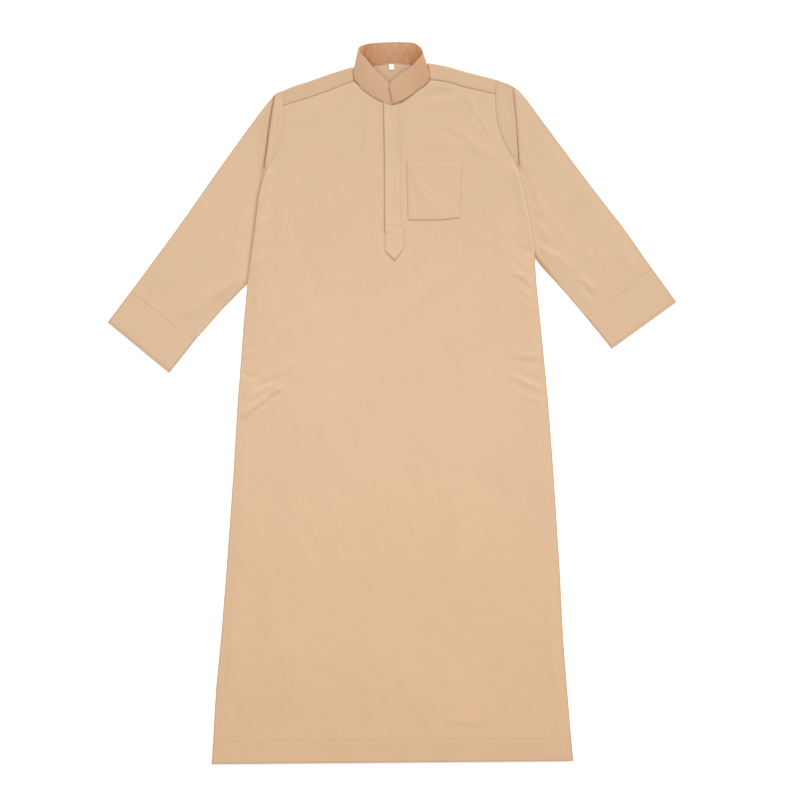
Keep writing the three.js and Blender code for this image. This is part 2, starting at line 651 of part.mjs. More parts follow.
// One front strip of the yoke: up from its seam and over the shoulder fold.
function yokeStrip(seam, fold, side) {
  const foldCurve = curveThrough(fold);
  const seamLine = side < 0 ? seam : [...seam].reverse();
  const gap = SEAM_GAP + FACET_ROOM;
  const flat = BODY_TOP - WALL / 2;
  const rows = [[], [], [], [], [], []];
  for (let j = 0; j <= STRIP_COLUMNS; j++) {
    const share = j / STRIP_COLUMNS;
    const seamX = mix(seam[0].x - side * 2 * gap, seam[seam.length - 1].x, share);
    const low = new THREE.Vector3(seamX, yAt(seamLine, seamX) + gap, 0);
    const high = foldCurve.getPointAt(share);
    high.x -= side * 2 * gap * (1 - share);
    const down = low.clone().sub(high).normalize();
    const width = low.distanceTo(high);
    const nearNeck = Math.pow(share, NECK_END_SHARPNESS);
    const at = (inset, z) => {
      const point = high.clone().addScaledVector(down, inset).setZ(z);
      point.x += side * NECK_END_BULGE * 4 * (inset / width) * (1 - inset / width) * nearNeck;
      return point;
    };
    rows[0].push(at(width, flat));
    rows[1].push(at(width * 0.5, flat));
    rows[2].push(at(TURN_END, flat));
    rows[3].push(at(TURN_INSET, flat - WALL / 2));
    rows[4].push(at(ROLL_INSET, flat / 2));
    rows[5].push(at(ROLL_INSET, WALL / 2));
  }
  return wallAlong(rows, WALL);
}

function yoke() {
  const clearOfSleeve = (p, side) => ({ x: p.x - side * 2 * SEAM_GAP, y: p.y });
  const [rightShoulder, ...rightFold] = SHOULDER_RIGHT;
  const [leftShoulder, ...leftFold] = SHOULDER_LEFT;
  const outline = [
    clearOfSleeve(yokeEnd(BACK_ARMHOLE_RIGHT), -1),
    clearOfSleeve(yokeEnd(BACK_ARMHOLE_LEFT), 1),
    clearOfSleeve(leftShoulder, 1),
    ...leftFold,
    ...[...NECK_BACK].reverse(),
    ...rightFold.reverse(),
    clearOfSleeve(rightShoulder, -1),
  ];
  const back = flatPiece(outline, 0, BACK_TOP);
  const right = yokeStrip(YOKE_SEAM_RIGHT, SHOULDER_RIGHT, -1);
  const left = yokeStrip(YOKE_SEAM_LEFT, SHOULDER_LEFT, 1);
  return joined(back, right, left);
}

// ---------------------------------------------------------------- sleeves and cuffs

const SLEEVE_ALONG = 13; // columns from the crease to the cuff
const CREASE_HALF = 1.6; // half of the width over which the fold at the crease comes down
const SEAM_STEP = 0.01; // share of the armhole seam that gives its run at either end
// Shares of the sleeve over which its loft and its folds rise from the edges and from the armhole.
const LOFT_EDGE_SHARE = 0.2;
const LOFT_START_SHARE = 1 / 6;
const FOLD_FADE_SHARE = 1 / 8;

// The upper layer of a sleeve as a patch between its four edges, each read by its share of length.
function sleevePatch(sleeve, armhole) {
  const upper = curveThrough(sleeve.upper);
  const under = curveThrough(sleeve.under);
  const crease = curveThrough(armhole.map((row) => ({ x: row.creaseX, y: row.creaseY })));
  const [cuffTop, cuffFoot] = [sleeve.upper, sleeve.under].map((edge) => edge[edge.length - 1]);
  const cuffSeam = curveThrough([cuffTop, cuffFoot]);
  return (along, across) => {
    const point = upper.getPointAt(along).multiplyScalar(1 - across);
    point.addScaledVector(under.getPointAt(along), across);
    point.addScaledVector(crease.getPointAt(across), 1 - along);
    point.addScaledVector(cuffSeam.getPointAt(across), along);
    const corners = upper.getPointAt(0).multiplyScalar((1 - along) * (1 - across));
    corners.addScaledVector(upper.getPointAt(1), along * (1 - across));
    corners.addScaledVector(under.getPointAt(0), (1 - along) * across);
    corners.addScaledVector(under.getPointAt(1), along * across);
    return point.sub(corners);
  };
}

// The share of a line's length at each of its points.
function lengthShares(points) {
  const lengths = [0];
  for (let i = 1; i < points.length; i++) {
    lengths.push(lengths[i - 1] + Math.hypot(points[i].x - points[i - 1].x, points[i].y - points[i - 1].y));
  }
  return lengths.map((length) => length / lengths[lengths.length - 1]);
}

// A point at a share of a line's length.
function pointOn(points, shares, share) {
  let i = 1;
  while (i < points.length - 1 && shares[i] < share) i++;
  const t = clamp01((share - shares[i - 1]) / (shares[i] - shares[i - 1]));
  return new THREE.Vector3(mix(points[i - 1].x, points[i].x, t), mix(points[i - 1].y, points[i].y, t), 0);
}

// Values of an armhole's table at a share of the crease's length.
function armholeAt(armhole, shares, share) {
  let i = 1;
  while (i < armhole.length - 1 && shares[i] < share) i++;
  const t = clamp01((share - shares[i - 1]) / (shares[i] - shares[i - 1]));
  const value = (key) => mix(armhole[i - 1][key], armhole[i][key], t);
  return {
    seam: new THREE.Vector3(value("seamX"), value("seamY"), 0),
    crease: new THREE.Vector3(value("creaseX"), value("creaseY"), 0),
    lift: value("lift"),
  };
}

// The rows of a flattened tube, once round: over its upper layer from one folded edge to the other,
// and back along the layer on the table. Each row has its share of the way across, its inset from
// the nearer edge, and its height between the lower layer, 0, and the upper one, 1.
function tubeRows(upperShares, lowerShares, wall) {
  const inset = wall / 2;
  const flat = inset + (wall + SEAM_GAP) / 2;
  return [
    { share: 0, inset, rise: 0.5 },
    { share: 0, inset: flat, rise: 1 },
    ...upperShares.map((share) => ({ share, inset: 0, rise: 1 })),
    { share: 1, inset: flat, rise: 1 },
    { share: 1, inset, rise: 0.5 },
    { share: 1, inset: flat, rise: 0 },
    ...lowerShares.map((share) => ({ share, inset: 0, rise: 0 })),
    { share: 0, inset: flat, rise: 0 },
  ];
}

// A row of points moved sideways, towards a point on its inner side. Its first point slides along firstRun.
function movedIn(row, distance, toward, firstRun) {
  return row.map((point, i) => {
    const run = row[Math.min(row.length - 1, i + 1)].clone().sub(row[Math.max(0, i - 1)]);
    const sideways = new THREE.Vector3(-run.y, run.x, 0).normalize();
    if (sideways.dot(toward.clone().sub(point)) < 0) sideways.negate();
    if (i === 0) return point.clone().addScaledVector(firstRun, distance / firstRun.dot(sideways));
    return point.clone().addScaledVector(sideways, distance);
  });
}

// A sleeve is one flat tube. Its upper layer starts at the armhole seam and turns over at the crease.
function sleevePiece(sleeve, armhole, backArmhole, folds) {
  const patch = sleevePatch(sleeve, armhole);
  const base = WALL / 2;
  const flat = TUCK_TOP - WALL / 2;
  const shares = lengthShares(armhole.map((row) => ({ x: row.creaseX, y: row.creaseY })));
  const backSeam = [sleeve.seamTop, ...backArmhole.slice(1, -1), sleeve.under[0]];
  const backShares = lengthShares(backSeam);
  const width = (along) => patch(along, 0).distanceTo(patch(along, 1));
  const rowPoints = ({ share, inset, rise }) => {
    const { seam, crease, lift } = armholeAt(armhole, shares, share);
    const firstFree = patch(1 / SLEEVE_ALONG, share);
    const outward = firstFree.clone().sub(crease).normalize();
    const reach = crease.clone().sub(seam).dot(outward);
    const turn = reach > 2 * CREASE_HALF ? crease : seam.clone().addScaledVector(outward, 3 * CREASE_HALF);
    const inner = turn.clone().addScaledVector(outward, -CREASE_HALF);
    const high = mix(base, mix(flat, BODY_TOP - WALL / 2, lift), rise);
    const low = mix(base, flat, rise);
    const row = [
      seam.clone().setZ(high),
      seam.clone().lerp(inner, 0.5).setZ(high),
      inner.setZ(high),
      turn.clone().addScaledVector(outward, CREASE_HALF).setZ(low),
    ];
    if (rise === 0 && inset === 0) {
      const start = pointOn(backSeam, backShares, share);
      row.forEach((point, i) => point.lerpVectors(start, firstFree, i / row.length).setZ(base));
    }
    for (let j = 1; j <= SLEEVE_ALONG; j++) {
      const along = j / SLEEVE_ALONG;
      const point = patch(along, share);
      const fromEdge = Math.min(share, 1 - share);
      const loft = SLEEVE_LOFT * smooth(fromEdge / LOFT_EDGE_SHARE) * smooth(along / LOFT_START_SHARE);
      const settled = smooth(along / FOLD_FADE_SHARE) * smooth(fromEdge / FOLD_FADE_SHARE);
      const height = flat + loft + ridges(folds, point.x, point.y) * settled;
      row.push(point.setZ(mix(base, height, rise)));
    }
    if (inset === 0) return row;
    const nextSeam = armholeAt(armhole, shares, Math.abs(share - SEAM_STEP)).seam;
    return movedIn(row, inset, patch(0.5, 1 - share), nextSeam.sub(seam).normalize());
  };
  const rows = tubeRows(shares.slice(1, -1), backShares.slice(1, -1).reverse(), WALL);
  return wallAlong(rows.map(rowPoints), WALL, true);
}

const CUFF_ACROSS = 8;
const CUFF_ALONG = 3;
const CUFF_LOFT_SHARE = 0.25; // share of the cuff's width over which its loft rises

// A cuff is a flat tube of stiffer cloth between the sleeve's end and its own free edge.
function cuffPiece(sleeve) {
  const flatPoint = (p) => new THREE.Vector3(p.x, p.y, 0);
  const startOf = (p, toward) => {
    const step = flatPoint(toward).sub(flatPoint(p)).normalize();
    return flatPoint(p).addScaledVector(step, SEAM_GAP);
  };
  const upperStart = startOf(sleeve.upper[sleeve.upper.length - 1], sleeve.cuffUpper);
  const underStart = startOf(sleeve.under[sleeve.under.length - 1], sleeve.cuffUnder);
  const base = CUFF_WALL / 2;
  const flat = base + CUFF_WALL + SEAM_GAP;
  const rowPoints = ({ share, inset, rise }) => {
    const row = [];
    for (let j = 0; j <= CUFF_ALONG; j++) {
      const high = upperStart.clone().lerp(flatPoint(sleeve.cuffUpper), j / CUFF_ALONG);
      const low = underStart.clone().lerp(flatPoint(sleeve.cuffUnder), j / CUFF_ALONG);
      const across = Math.abs(share - inset / high.distanceTo(low));
      const loft = CUFF_LOFT * smooth(Math.min(across, 1 - across) / CUFF_LOFT_SHARE);
      row.push(high.lerp(low, across).setZ(mix(base, flat + loft, rise)));
    }
    return row;
  };
  const upperShares = Array.from({ length: CUFF_ACROSS - 1 }, (unused, i) => (i + 1) / CUFF_ACROSS);
  return wallAlong(tubeRows(upperShares, [0.5], CUFF_WALL).map(rowPoints), CUFF_WALL, true);
}

// ---------------------------------------------------------------- collar, placket, pocket, label

function collarBand() {
  const seam = new THREE.CatmullRomCurve3(
    COLLAR.map((row) => new THREE.Vector3(row.seamX, row.seamY, row.seamZ)),
    false,
    "centripetal",
  );
  const top = new THREE.CatmullRomCurve3(
    COLLAR.map((row) => new THREE.Vector3(row.topX, row.topY, row.topZ)),
    false,
    "centripetal",
  );
  const rings = (COLLAR.length - 1) * COLLAR_STEPS;
  const rows = COLLAR_ROWS.map(() => []);
  for (let k = 0; k <= rings; k++) {
    const low = seam.getPoint(k / rings);
    const high = top.getPoint(k / rings);
    const standing = clamp01((high.z - COLLAR_WALL) / (2 * COLLAR_WALL));
    COLLAR_ROWS.forEach((share, i) => {
      const point = low.clone().lerp(high, share);
      point.z += COLLAR_BULGE * standing * 4 * share * (1 - share);
      point.z = Math.max(point.z, COLLAR_WALL / 2);
      rows[i].push(point);
    });
  }
  return wallAlong(rows, COLLAR_WALL);
}

// A patch of cloth that lies on the front panel: rows of flat points moved out from its outer face.
function patchOnFront(rows, clearance) {
  const lifted = (p) => new THREE.Vector3(p.x, p.y, frontTop(p.x, p.y) + clearance);
  const inner = rows.map((row) => row.map(lifted));
  const outer = inner.map((row) => row.map((p) => p.clone().setZ(p.z + WALL)));
  return wallBetween(outer, inner);
}

function placket() {
  const rows = [];
  const across = Array.from({ length: PLACKET_ACROSS + 1 }, (unused, i) => i / PLACKET_ACROSS);
  for (let i = 0; i <= PLACKET_ROWS; i++) {
    const y = mix(PLACKET.top, PLACKET.shoulder, i / PLACKET_ROWS);
    const right = mix(PLACKET.rightTop, PLACKET.rightLow, i / PLACKET_ROWS);
    const neckRoom = (x) => Math.min(y, yAt(NECK_FRONT, x) - SEAM_GAP);
    rows.push(across.map((s) => mix(PLACKET.left, right, s)).map((x) => ({ x, y: neckRoom(x) })));
  }
  for (let i = 1; i <= TAB_ROWS; i++) {
    const share = i / TAB_ROWS;
    rows.push(
      across.map((s) => {
        const x = mix(PLACKET.left, PLACKET.rightLow, s);
        const half = x < PLACKET.pointX ? PLACKET.pointX - PLACKET.left : PLACKET.rightLow - PLACKET.pointX;
        const drop = 1 - Math.abs(x - PLACKET.pointX) / half;
        return { x, y: mix(PLACKET.shoulder, PLACKET.point, share * drop) - share * SEAM_GAP };
      }),
    );
  }
  return patchOnFront(rows, SEAM_GAP + FACET_ROOM);
}

// The strip that the buttons would go on, between the slit and the back panel.
function placketUnder() {
  const outline = [
    { x: UNDER_PLACKET.left, y: UNDER_PLACKET.top },
    { x: UNDER_PLACKET.left, y: UNDER_PLACKET.bottom },
    { x: UNDER_PLACKET.right, y: UNDER_PLACKET.bottom },
    { x: UNDER_PLACKET.right, y: UNDER_PLACKET.top },
  ];
  return flatPiece(outline, TUCK_TOP - WALL, TUCK_TOP);
}

function chestPocket() {
  const [footLeft, , footRight] = POCKET_FOOT;
  const rows = [];
  for (let i = 0; i <= POCKET_ROWS; i++) {
    const row = [];
    for (let j = 0; j <= POCKET_COLUMNS; j++) {
      const footX = mix(footLeft.x, footRight.x, j / POCKET_COLUMNS);
      const headX = mix(POCKET_TOP.left, POCKET_TOP.right, j / POCKET_COLUMNS);
      row.push({
        x: mix(headX, footX, i / POCKET_ROWS),
        y: mix(POCKET_TOP.y, yAt(POCKET_FOOT, footX), i / POCKET_ROWS),
      });
    }
    rows.push(row);
  }
  return patchOnFront(rows, SEAM_GAP + FACET_ROOM);
}

function neckLabel() {
  const outline = [
    { x: LABEL.left, y: LABEL.bottom },
    { x: LABEL.right, y: LABEL.bottom },
    { x: LABEL.right, y: LABEL.top },
    { x: LABEL.left, y: LABEL.top },
  ];
  const bottom = BACK_TOP + SEAM_GAP;
  return flatPiece(outline, bottom, bottom + LABEL_WALL);
}

// ---------------------------------------------------------------- the garment

const clothMaterial = new THREE.MeshStandardMaterial({ color: CLOTH_COLOUR, roughness: 0.72, metalness: 0 });
const collarMaterial = new THREE.MeshStandardMaterial({ color: COLLAR_COLOUR, roughness: 0.7, metalness: 0 });
const labelMaterial = new THREE.MeshStandardMaterial({ color: LABEL_COLOUR, roughness: 0.6, metalness: 0 });

function piece(name, geometry, material) {
  const mesh = new THREE.Mesh(geometry, material);
  mesh.name = name;
  return mesh;
}

const body = new THREE.Group();
body.add(
  piece("back_panel", backPanel(), clothMaterial),
  piece("front_panel", frontPanel(), clothMaterial),
  piece("yoke", yoke(), clothMaterial),
);

const sleeves = new THREE.Group();
sleeves.add(
  piece(
    "sleeve_right",
    sleevePiece(SLEEVE_RIGHT, ARMHOLE_RIGHT, BACK_ARMHOLE_RIGHT, SLEEVE_RIGHT_FOLDS),
    clothMaterial,
  ),
  piece(
    "sleeve_left",
    sleevePiece(SLEEVE_LEFT, ARMHOLE_LEFT, BACK_ARMHOLE_LEFT, SLEEVE_LEFT_FOLDS),
    clothMaterial,
  ),
  piece("cuff_right", cuffPiece(SLEEVE_RIGHT), clothMaterial),
  piece("cuff_left", cuffPiece(SLEEVE_LEFT), clothMaterial),
);

const closing = new THREE.Group();
closing.add(
  piece("collar_band", collarBand(), collarMaterial),
  piece("placket_over", placket(), clothMaterial),
  piece("placket_under", placketUnder(), clothMaterial),
  piece("chest_pocket", chestPocket(), clothMaterial),
  piece("neck_label", neckLabel(), labelMaterial),
);

const kurta = new THREE.Group();
kurta.add(body, sleeves, closing);

export default kurta;
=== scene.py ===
"""An ankle-length kurta of the thobe cut with a band collar, laid out flat on its back.

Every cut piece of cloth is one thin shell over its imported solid, with its folds, its turned edges
and its sewing. Lengths in the tables are millimetres, and the meshes are metres. +X is the wearer's
left, +Y runs from the hem to the collar, and +Z is up from the table.
"""

import logging
import math
from bisect import bisect_left
from dataclasses import dataclass, field
from enum import Enum
from functools import cached_property
from typing import Any, Callable, Sequence

import bmesh
import bpy
from mathutils import Matrix, Vector, noise


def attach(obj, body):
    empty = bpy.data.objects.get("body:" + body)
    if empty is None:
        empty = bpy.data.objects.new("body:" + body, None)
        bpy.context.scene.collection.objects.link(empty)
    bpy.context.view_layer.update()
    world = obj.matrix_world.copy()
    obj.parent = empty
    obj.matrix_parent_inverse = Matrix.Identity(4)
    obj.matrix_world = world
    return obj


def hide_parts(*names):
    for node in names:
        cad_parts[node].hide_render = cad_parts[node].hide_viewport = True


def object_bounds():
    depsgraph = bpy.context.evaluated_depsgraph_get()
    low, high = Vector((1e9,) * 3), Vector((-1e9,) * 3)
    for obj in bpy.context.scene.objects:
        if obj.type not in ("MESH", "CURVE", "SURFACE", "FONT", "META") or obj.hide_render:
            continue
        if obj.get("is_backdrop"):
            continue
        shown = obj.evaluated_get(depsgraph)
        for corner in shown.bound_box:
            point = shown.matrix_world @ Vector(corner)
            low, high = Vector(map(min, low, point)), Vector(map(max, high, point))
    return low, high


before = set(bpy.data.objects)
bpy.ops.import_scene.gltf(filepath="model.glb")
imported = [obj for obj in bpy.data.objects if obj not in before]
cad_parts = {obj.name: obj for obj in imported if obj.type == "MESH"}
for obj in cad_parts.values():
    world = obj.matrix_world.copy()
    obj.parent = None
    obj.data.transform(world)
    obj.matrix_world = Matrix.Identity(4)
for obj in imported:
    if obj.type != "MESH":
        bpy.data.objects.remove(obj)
CAD_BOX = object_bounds()

LOG = logging.getLogger("kurta")
MM = 0.001
Point = tuple[float, float]
Colour = tuple[float, float, float]
Place = Callable[[int, int], tuple[Vector, Point]]
# Painted shade at a spot, by its column and row; below 0, a painted highlight.
PaintedLight = Callable[[Vector, int, int], float]
Socket = bpy.types.NodeSocket


# ------------------------------------------------------------------ small helpers


def mix(a: float, b: float, t: float) -> float:
    """The value a share t of the way from a to b."""
    return a + (b - a) * t


def clamp(t: float) -> float:
    """t held between 0 and 1."""
    return min(1.0, max(0.0, t))


def smooth(t: float) -> float:
    """A soft step from 0 to 1."""
    t = clamp(t)
    return t * t * (3 - 2 * t)


def bump(t: float) -> float:
    """A soft hump over -1 to 1, with its top at 0."""
    return math.exp(-t * t * 2.2)


def hill(t: float) -> float:
    """A broader hump, with its top at 0."""
    return math.exp(-(t**2))


def curve(a: Any, b: Any, first: Any, last: Any, t: float) -> Any:
    """The value a share t of the way from a to b, with a slope at each end."""
    return (
        a * (2 * t**3 - 3 * t**2 + 1)
        + first * (t**3 - 2 * t**2 + t)
        + b * (3 * t**2 - 2 * t**3)
        + last * (t**3 - t**2)
    )


class Line:
    """A run of flat points in millimetres, read by its share of the length or across one axis."""

    FINENESS = 10

    def __init__(self, points: Sequence[Point], rounded: bool = False) -> None:
        """Keeps the points.

        Args:
            points: The corners in order.
            rounded: Whether a soft curve goes through them.
        """
        self.points = self._curved(points) if rounded else [tuple(p) for p in points]
        lengths = [0.0]
        for a, b in zip(self.points, self.points[1:]):
            lengths.append(lengths[-1] + math.dist(a, b))
        self.length = lengths[-1]
        self.shares = [length / self.length for length in lengths]

    @classmethod
    def _curved(cls, points: Sequence[Point]) -> list[Point]:
        """Points of a centripetal curve through the given ones."""
        spots = [Vector(p) for p in points]
        spots = [spots[0] * 2 - spots[1], *spots, spots[-1] * 2 - spots[-2]]
        out: list[Point] = []
        for a, b, c, d in zip(spots, spots[1:], spots[2:], spots[3:]):
            ta, tb, tc = (math.sqrt(step.length) for step in (b - a, c - b, d - c))
            first = ((b - a) / ta - (c - a) / (ta + tb) + (c - b) / tb) * tb
            last = ((c - b) / tb - (d - b) / (tb + tc) + (d - c) / tc) * tb
            for k in range(cls.FINENESS):
                out.append(tuple(curve(b, c, first, last, k / cls.FINENESS)))
        return [*out, tuple(spots[-2])]

    def at(self, share: float) -> Vector:
        """The point at a share of the length, which may lie a little past either end."""
        i = min(max(1, bisect_left(self.shares, share)), len(self.points) - 1)
        t = (share - self.shares[i - 1]) / (self.shares[i] - self.shares[i - 1])
        a, b = self.points[i - 1], self.points[i]
        return Vector((mix(a[0], b[0], t), mix(a[1], b[1], t)))

    def _read(self, value: float, axis: int) -> float:
        """The other coordinate where the line first reaches a value along one axis."""
        other = 1 - axis
        points = self.points if self.points[-1][axis] > self.points[0][axis] else self.points[::-1]
        if value <= points[0][axis]:
            return points[0][other]
        for a, b in zip(points, points[1:]):
            if value <= b[axis]:
                return mix(a[other], b[other], (value - a[axis]) / (b[axis] - a[axis]))
        return points[-1][other]

    def x_at(self, y: float) -> float:
        """X where the line crosses a height."""
        return self._read(y, 1)

    def y_at(self, x: float) -> float:
        """Y where the line crosses an X."""
        return self._read(x, 0)

    def spaced(self, pitch: float) -> list[Vector]:
        """Points at even steps of about pitch, from end to end."""
        steps = max(1, round(self.length / pitch))
        return [self.at(k / steps) for k in range(steps + 1)]


@dataclass(frozen=True)
class Fold:
    """A soft ridge along a line, or a trough where its height is below 0.

    Its lean makes the side on the right of its run steeper, and a lean below 0 the other one.
    """

    x0: float
    y0: float
    x1: float
    y1: float
    height: float
    half: float
    lean: float = 0.0
    REACH = 4.0
    END_STRETCH = 1.6
    END_FADE = 0.35
    END_HEIGHT = 0.6

    def rise(self, x: float, y: float) -> float:
        """Height that the fold adds at a spot.

        Args:
            x: Across the garment.
            y: Along it.

        Returns:
            Millimetres above the plain cloth.
        """
        room = self.REACH * self.half
        if not min(self.x0, self.x1) - room < x < max(self.x0, self.x1) + room:
            return 0.0
        if not min(self.y0, self.y1) - room < y < max(self.y0, self.y1) + room:
            return 0.0
        run = Vector((self.x1 - self.x0, self.y1 - self.y0))
        length = run.length
        run /= length
        along = (x - self.x0) * run.x + (y - self.y0) * run.y
        off = (x - self.x0) * run.y - (y - self.y0) * run.x
        beyond = max(0.0, -along, along - length) / self.END_STRETCH
        half = self.half * (1 - self.lean if off > 0 else 1 + self.lean)
        fade = self.END_FADE
        if 0 < along < length:
            fade = smooth(self.END_FADE + 1.3 * min(along, length - along) / length)
        tall = self.height * mix(self.END_HEIGHT, 1.0, fade)
        return tall * math.exp(-((off / half) ** 2) - (beyond / self.half) ** 2)


def folds_of(*rows: Sequence[float]) -> tuple[Fold, ...]:
    """Folds from rows of x0, y0, x1, y1, height, half width and, for some, lean."""
    return tuple(Fold(*row) for row in rows)


def folded(folds: Sequence[Fold], x: float, y: float) -> float:
    """Height that a set of folds adds at a spot."""
    return sum(fold.rise(x, y) for fold in folds)


def swell(x: float, y: float, reach: float, layer: float) -> float:
    """A slow rise and fall between about -1 and 1, the same on every run."""
    return noise.noise(Vector((x / reach, y / reach, layer)))


def swelling(rows: Sequence[Sequence[float]], x: float, y: float) -> float:
    """The sum of swells from rows of height, stretch in x and y, reach and layer."""
    return sum(high * swell(x * u, y * v, reach, layer) for high, u, v, reach, layer in rows)


def paced(steps: int, weight: Callable[[float], float]) -> list[float]:
    """Shares from 0 to 1 that lie closer together where the weight is larger.

    Args:
        steps: Number of steps between the first share and the last.
        weight: Density at a share.

    Returns:
        One more share than there are steps.
    """
    fine = steps * 12
    sums = [0.0]
    for k in range(fine):
        sums.append(sums[-1] + weight((k + 0.5) / fine))
    shares = []
    for step in range(steps + 1):
        goal = sums[-1] * step / steps
        k = min(max(1, bisect_left(sums, goal)), fine)
        shares.append((k - 1 + (goal - sums[k - 1]) / (sums[k] - sums[k - 1])) / fine)
    return shares


def edge_roll(radius: float, steps: int = 6) -> list[Point]:
    """The half turn of an edge, from its underside round to its top.

    Args:
        radius: Half of the height that it turns through.
        steps: Parts of the half turn.

    Returns:
        Pairs of inset from the edge and share of the height, 0 below and 1 on top.
    """
    turns = [math.pi * (k / steps - 0.5) for k in range(steps + 1)]
    return [(radius * (1 - math.cos(a)), (1 + math.sin(a)) / 2) for a in turns]


# ------------------------------------------------------------------ finishes


class Slot(Enum):
    """The record's material slots."""

    CLOTH = "cloth"
    COLLAR = "collar_cloth"
    LABEL = "label_cloth"


class Paint:
    """A node material that is put together node by node."""

    def __init__(self, name: str, inputs: dict[str, Any], plain: Colour | None = None) -> None:
        """Starts from the standard shader.

        Args:
            name: The material's name.
            inputs: What the shader's inputs are set to.
            plain: The colour that stands for it in a plain view.
        """
        self.material = bpy.data.materials.new(name)
        self.material.use_nodes = True
        if plain:
            self.material.diffuse_color = (*plain, 1.0)
        self.tree = self.material.node_tree
        self.shader = self.tree.nodes["Principled BSDF"]
        self.feed(self.shader, inputs)

    def feed(self, node: bpy.types.Node, inputs: dict[Any, Any]) -> None:
        """Sets each named input of a node, or links a socket to it."""
        for key, value in inputs.items():
            if isinstance(value, bpy.types.NodeSocket):
                self.tree.links.new(value, node.inputs[key])
            else:
                node.inputs[key].default_value = value

    def node(self, kind: str, out: int | str, inputs: dict[Any, Any], **settings: str) -> Socket:
        """Adds a node.

        Args:
            kind: Its type, without the common start.
            out: The output that is wanted.
            inputs: What its inputs are set to or linked from.
            **settings: Its own settings.

        Returns:
            The socket of that output.
        """
        made = self.tree.nodes.new(f"ShaderNode{kind}")
        for key, value in settings.items():
            setattr(made, key, value)
        self.feed(made, inputs)
        return made.outputs[out]

    def math(self, operation: str, *values: Socket | float) -> Socket:
        """A Math node's output, from sockets and plain numbers."""
        return self.node("Math", 0, dict(enumerate(values)), operation=operation)

    def vector(self, operation: str, inputs: dict[Any, Any]) -> Socket:
        """A Vector Math node's output."""
        return self.node("VectorMath", "Vector", inputs, operation=operation)

    def spot(self) -> Socket:
        """The Object coordinates."""
        return self.node("TexCoord", "Object", {})

    def streaks(self, source: Socket, scale: Colour) -> Socket:
        """Noise stretched along one way of the cloth, about 0 to 1."""
        stretched = self.node("Mapping", "Vector", {"Scale": scale, "Vector": source})
        return self.node("TexNoise", "Fac", {"Scale": 1.0, "Detail": 3.0, "Vector": stretched})


@dataclass(frozen=True)
class Weave:
    """A plain weave on the cut's own UV map, which is in metres."""

    yarn: float = 0.00048
    depth: float = 0.00007
    slub: float = 0.035
    cloudy: float = 0.03
    pits: float = 0.02
    slub_scale: tuple[float, float] = (900.0, 26.0)


@dataclass(frozen=True)
class ClothFinish:
    """A dyed and calendered cotton blend: matt yarns with a faint polish."""

    name: str
    colour: Colour
    roughness: float = 0.62
    uneven_polish: float = 0.12
    sheen: float = 0.12
    specular: float = 0.28
    weave: Weave = field(default_factory=Weave)
    # Painted shade: the tint that the 'deep' attribute moves the colour towards; where the
    # attribute is below 0, a painted highlight.
    deep: Colour = (0.84, 0.70, 0.62)
    warm: Colour = (1.0, 0.96, 0.90)
    warm_from: float = 0.1
    warm_to: float = -0.75
    crumple: float = 0.0004
    crumple_scale: Colour = (58.0, 40.0, 58.0)
    cloud_scale: Colour = (7.0, 4.0, 7.0)

    def material(self) -> bpy.types.Material:
        """The finish as a node material.

        Returns:
            A new material, which reads the piece's UV map, its Object coordinates and the painted
            shade in its 'deep' attribute.
        """
        weave = self.weave
        soft = (*[mix(c, 1.0, 0.5) for c in self.colour], 1.0)
        base = {"Sheen Weight": self.sheen, "Sheen Roughness": 0.45, "Sheen Tint": soft}
        paint = Paint(self.name, {**base, "Specular IOR Level": self.specular}, self.colour)
        on_cut = paint.node("UVMap", "UV", {}, uv_map="cut")
        spot = paint.spot()
        woven = paint.math("MULTIPLY", *[self._yarns(paint, on_cut, axis) for axis in (0, 1)])
        ways = (weave.slub_scale, weave.slub_scale[::-1])
        slubs = paint.math("ADD", *[paint.streaks(on_cut, (*way, 1.0)) for way in ways])
        cloud = paint.streaks(spot, self.cloud_scale)

        tone = paint.math("MULTIPLY_ADD", slubs, weave.slub, 1.0 - weave.slub)
        clouded = paint.math("MULTIPLY_ADD", cloud, weave.cloudy * 2, -weave.cloudy)
        value = paint.math("ADD", tone, paint.math("MULTIPLY_ADD", woven, weave.pits, clouded))
        # Painted shade from the piece's 'deep' attribute, and a painted highlight where it is below
        # 0.
        deep = paint.node("Attribute", "Vector", {}, attribute_name="deep")
        shaded_dye = self._towards(paint, self.deep, deep, self._warmed(paint, spot))
        tint = paint.vector("SCALE", {0: shaded_dye, "Scale": value})
        rough = self.roughness - self.uneven_polish / 2
        polish = paint.math("MULTIPLY_ADD", cloud, self.uneven_polish, rough)

        height = paint.math("MULTIPLY_ADD", slubs, 0.6, woven)
        relief = {"Strength": 0.35, "Distance": weave.depth, "Height": height}
        crumpled = {
            "Strength": 1.0,
            "Distance": self.crumple,
            "Height": paint.streaks(spot, self.crumple_scale),
            "Normal": paint.node("Bump", "Normal", relief),
        }
        normal = paint.node("Bump", "Normal", crumpled)
        paint.feed(paint.shader, {"Base Color": tint, "Roughness": polish, "Normal": normal})
        return paint.material

    def _towards(
        self, paint: Paint, shade: Colour, share: Socket, start: Socket | Colour
    ) -> Socket:
        """A start colour plus a share of the base colour times the tint less one: this adds the
        painted shade and the warmer hem.
        """
        change = [c * (s - 1) for c, s in zip(self.colour, shade)]
        return paint.vector("MULTIPLY_ADD", {0: share, 1: change, 2: start})

    def _warmed(self, paint: Paint, spot: Socket) -> Socket:
        """The base colour, made a little warmer towards the hem."""
        reach = {"From Min": self.warm_from, "From Max": self.warm_to}
        y = paint.node("SeparateXYZ", "Y", {"Vector": spot})
        down = paint.node("MapRange", "Result", {**reach, "Value": y})
        return self._towards(paint, self.warm, down, self.colour)

    def _yarns(self, paint: Paint, source: Socket, axis: int) -> Socket:
        """A sine across one set of yarns, from -1 to 1."""
        across = paint.node("SeparateXYZ", axis, {"Vector": source})
        return paint.math("SINE", paint.math("MULTIPLY", across, math.pi / self.weave.yarn))


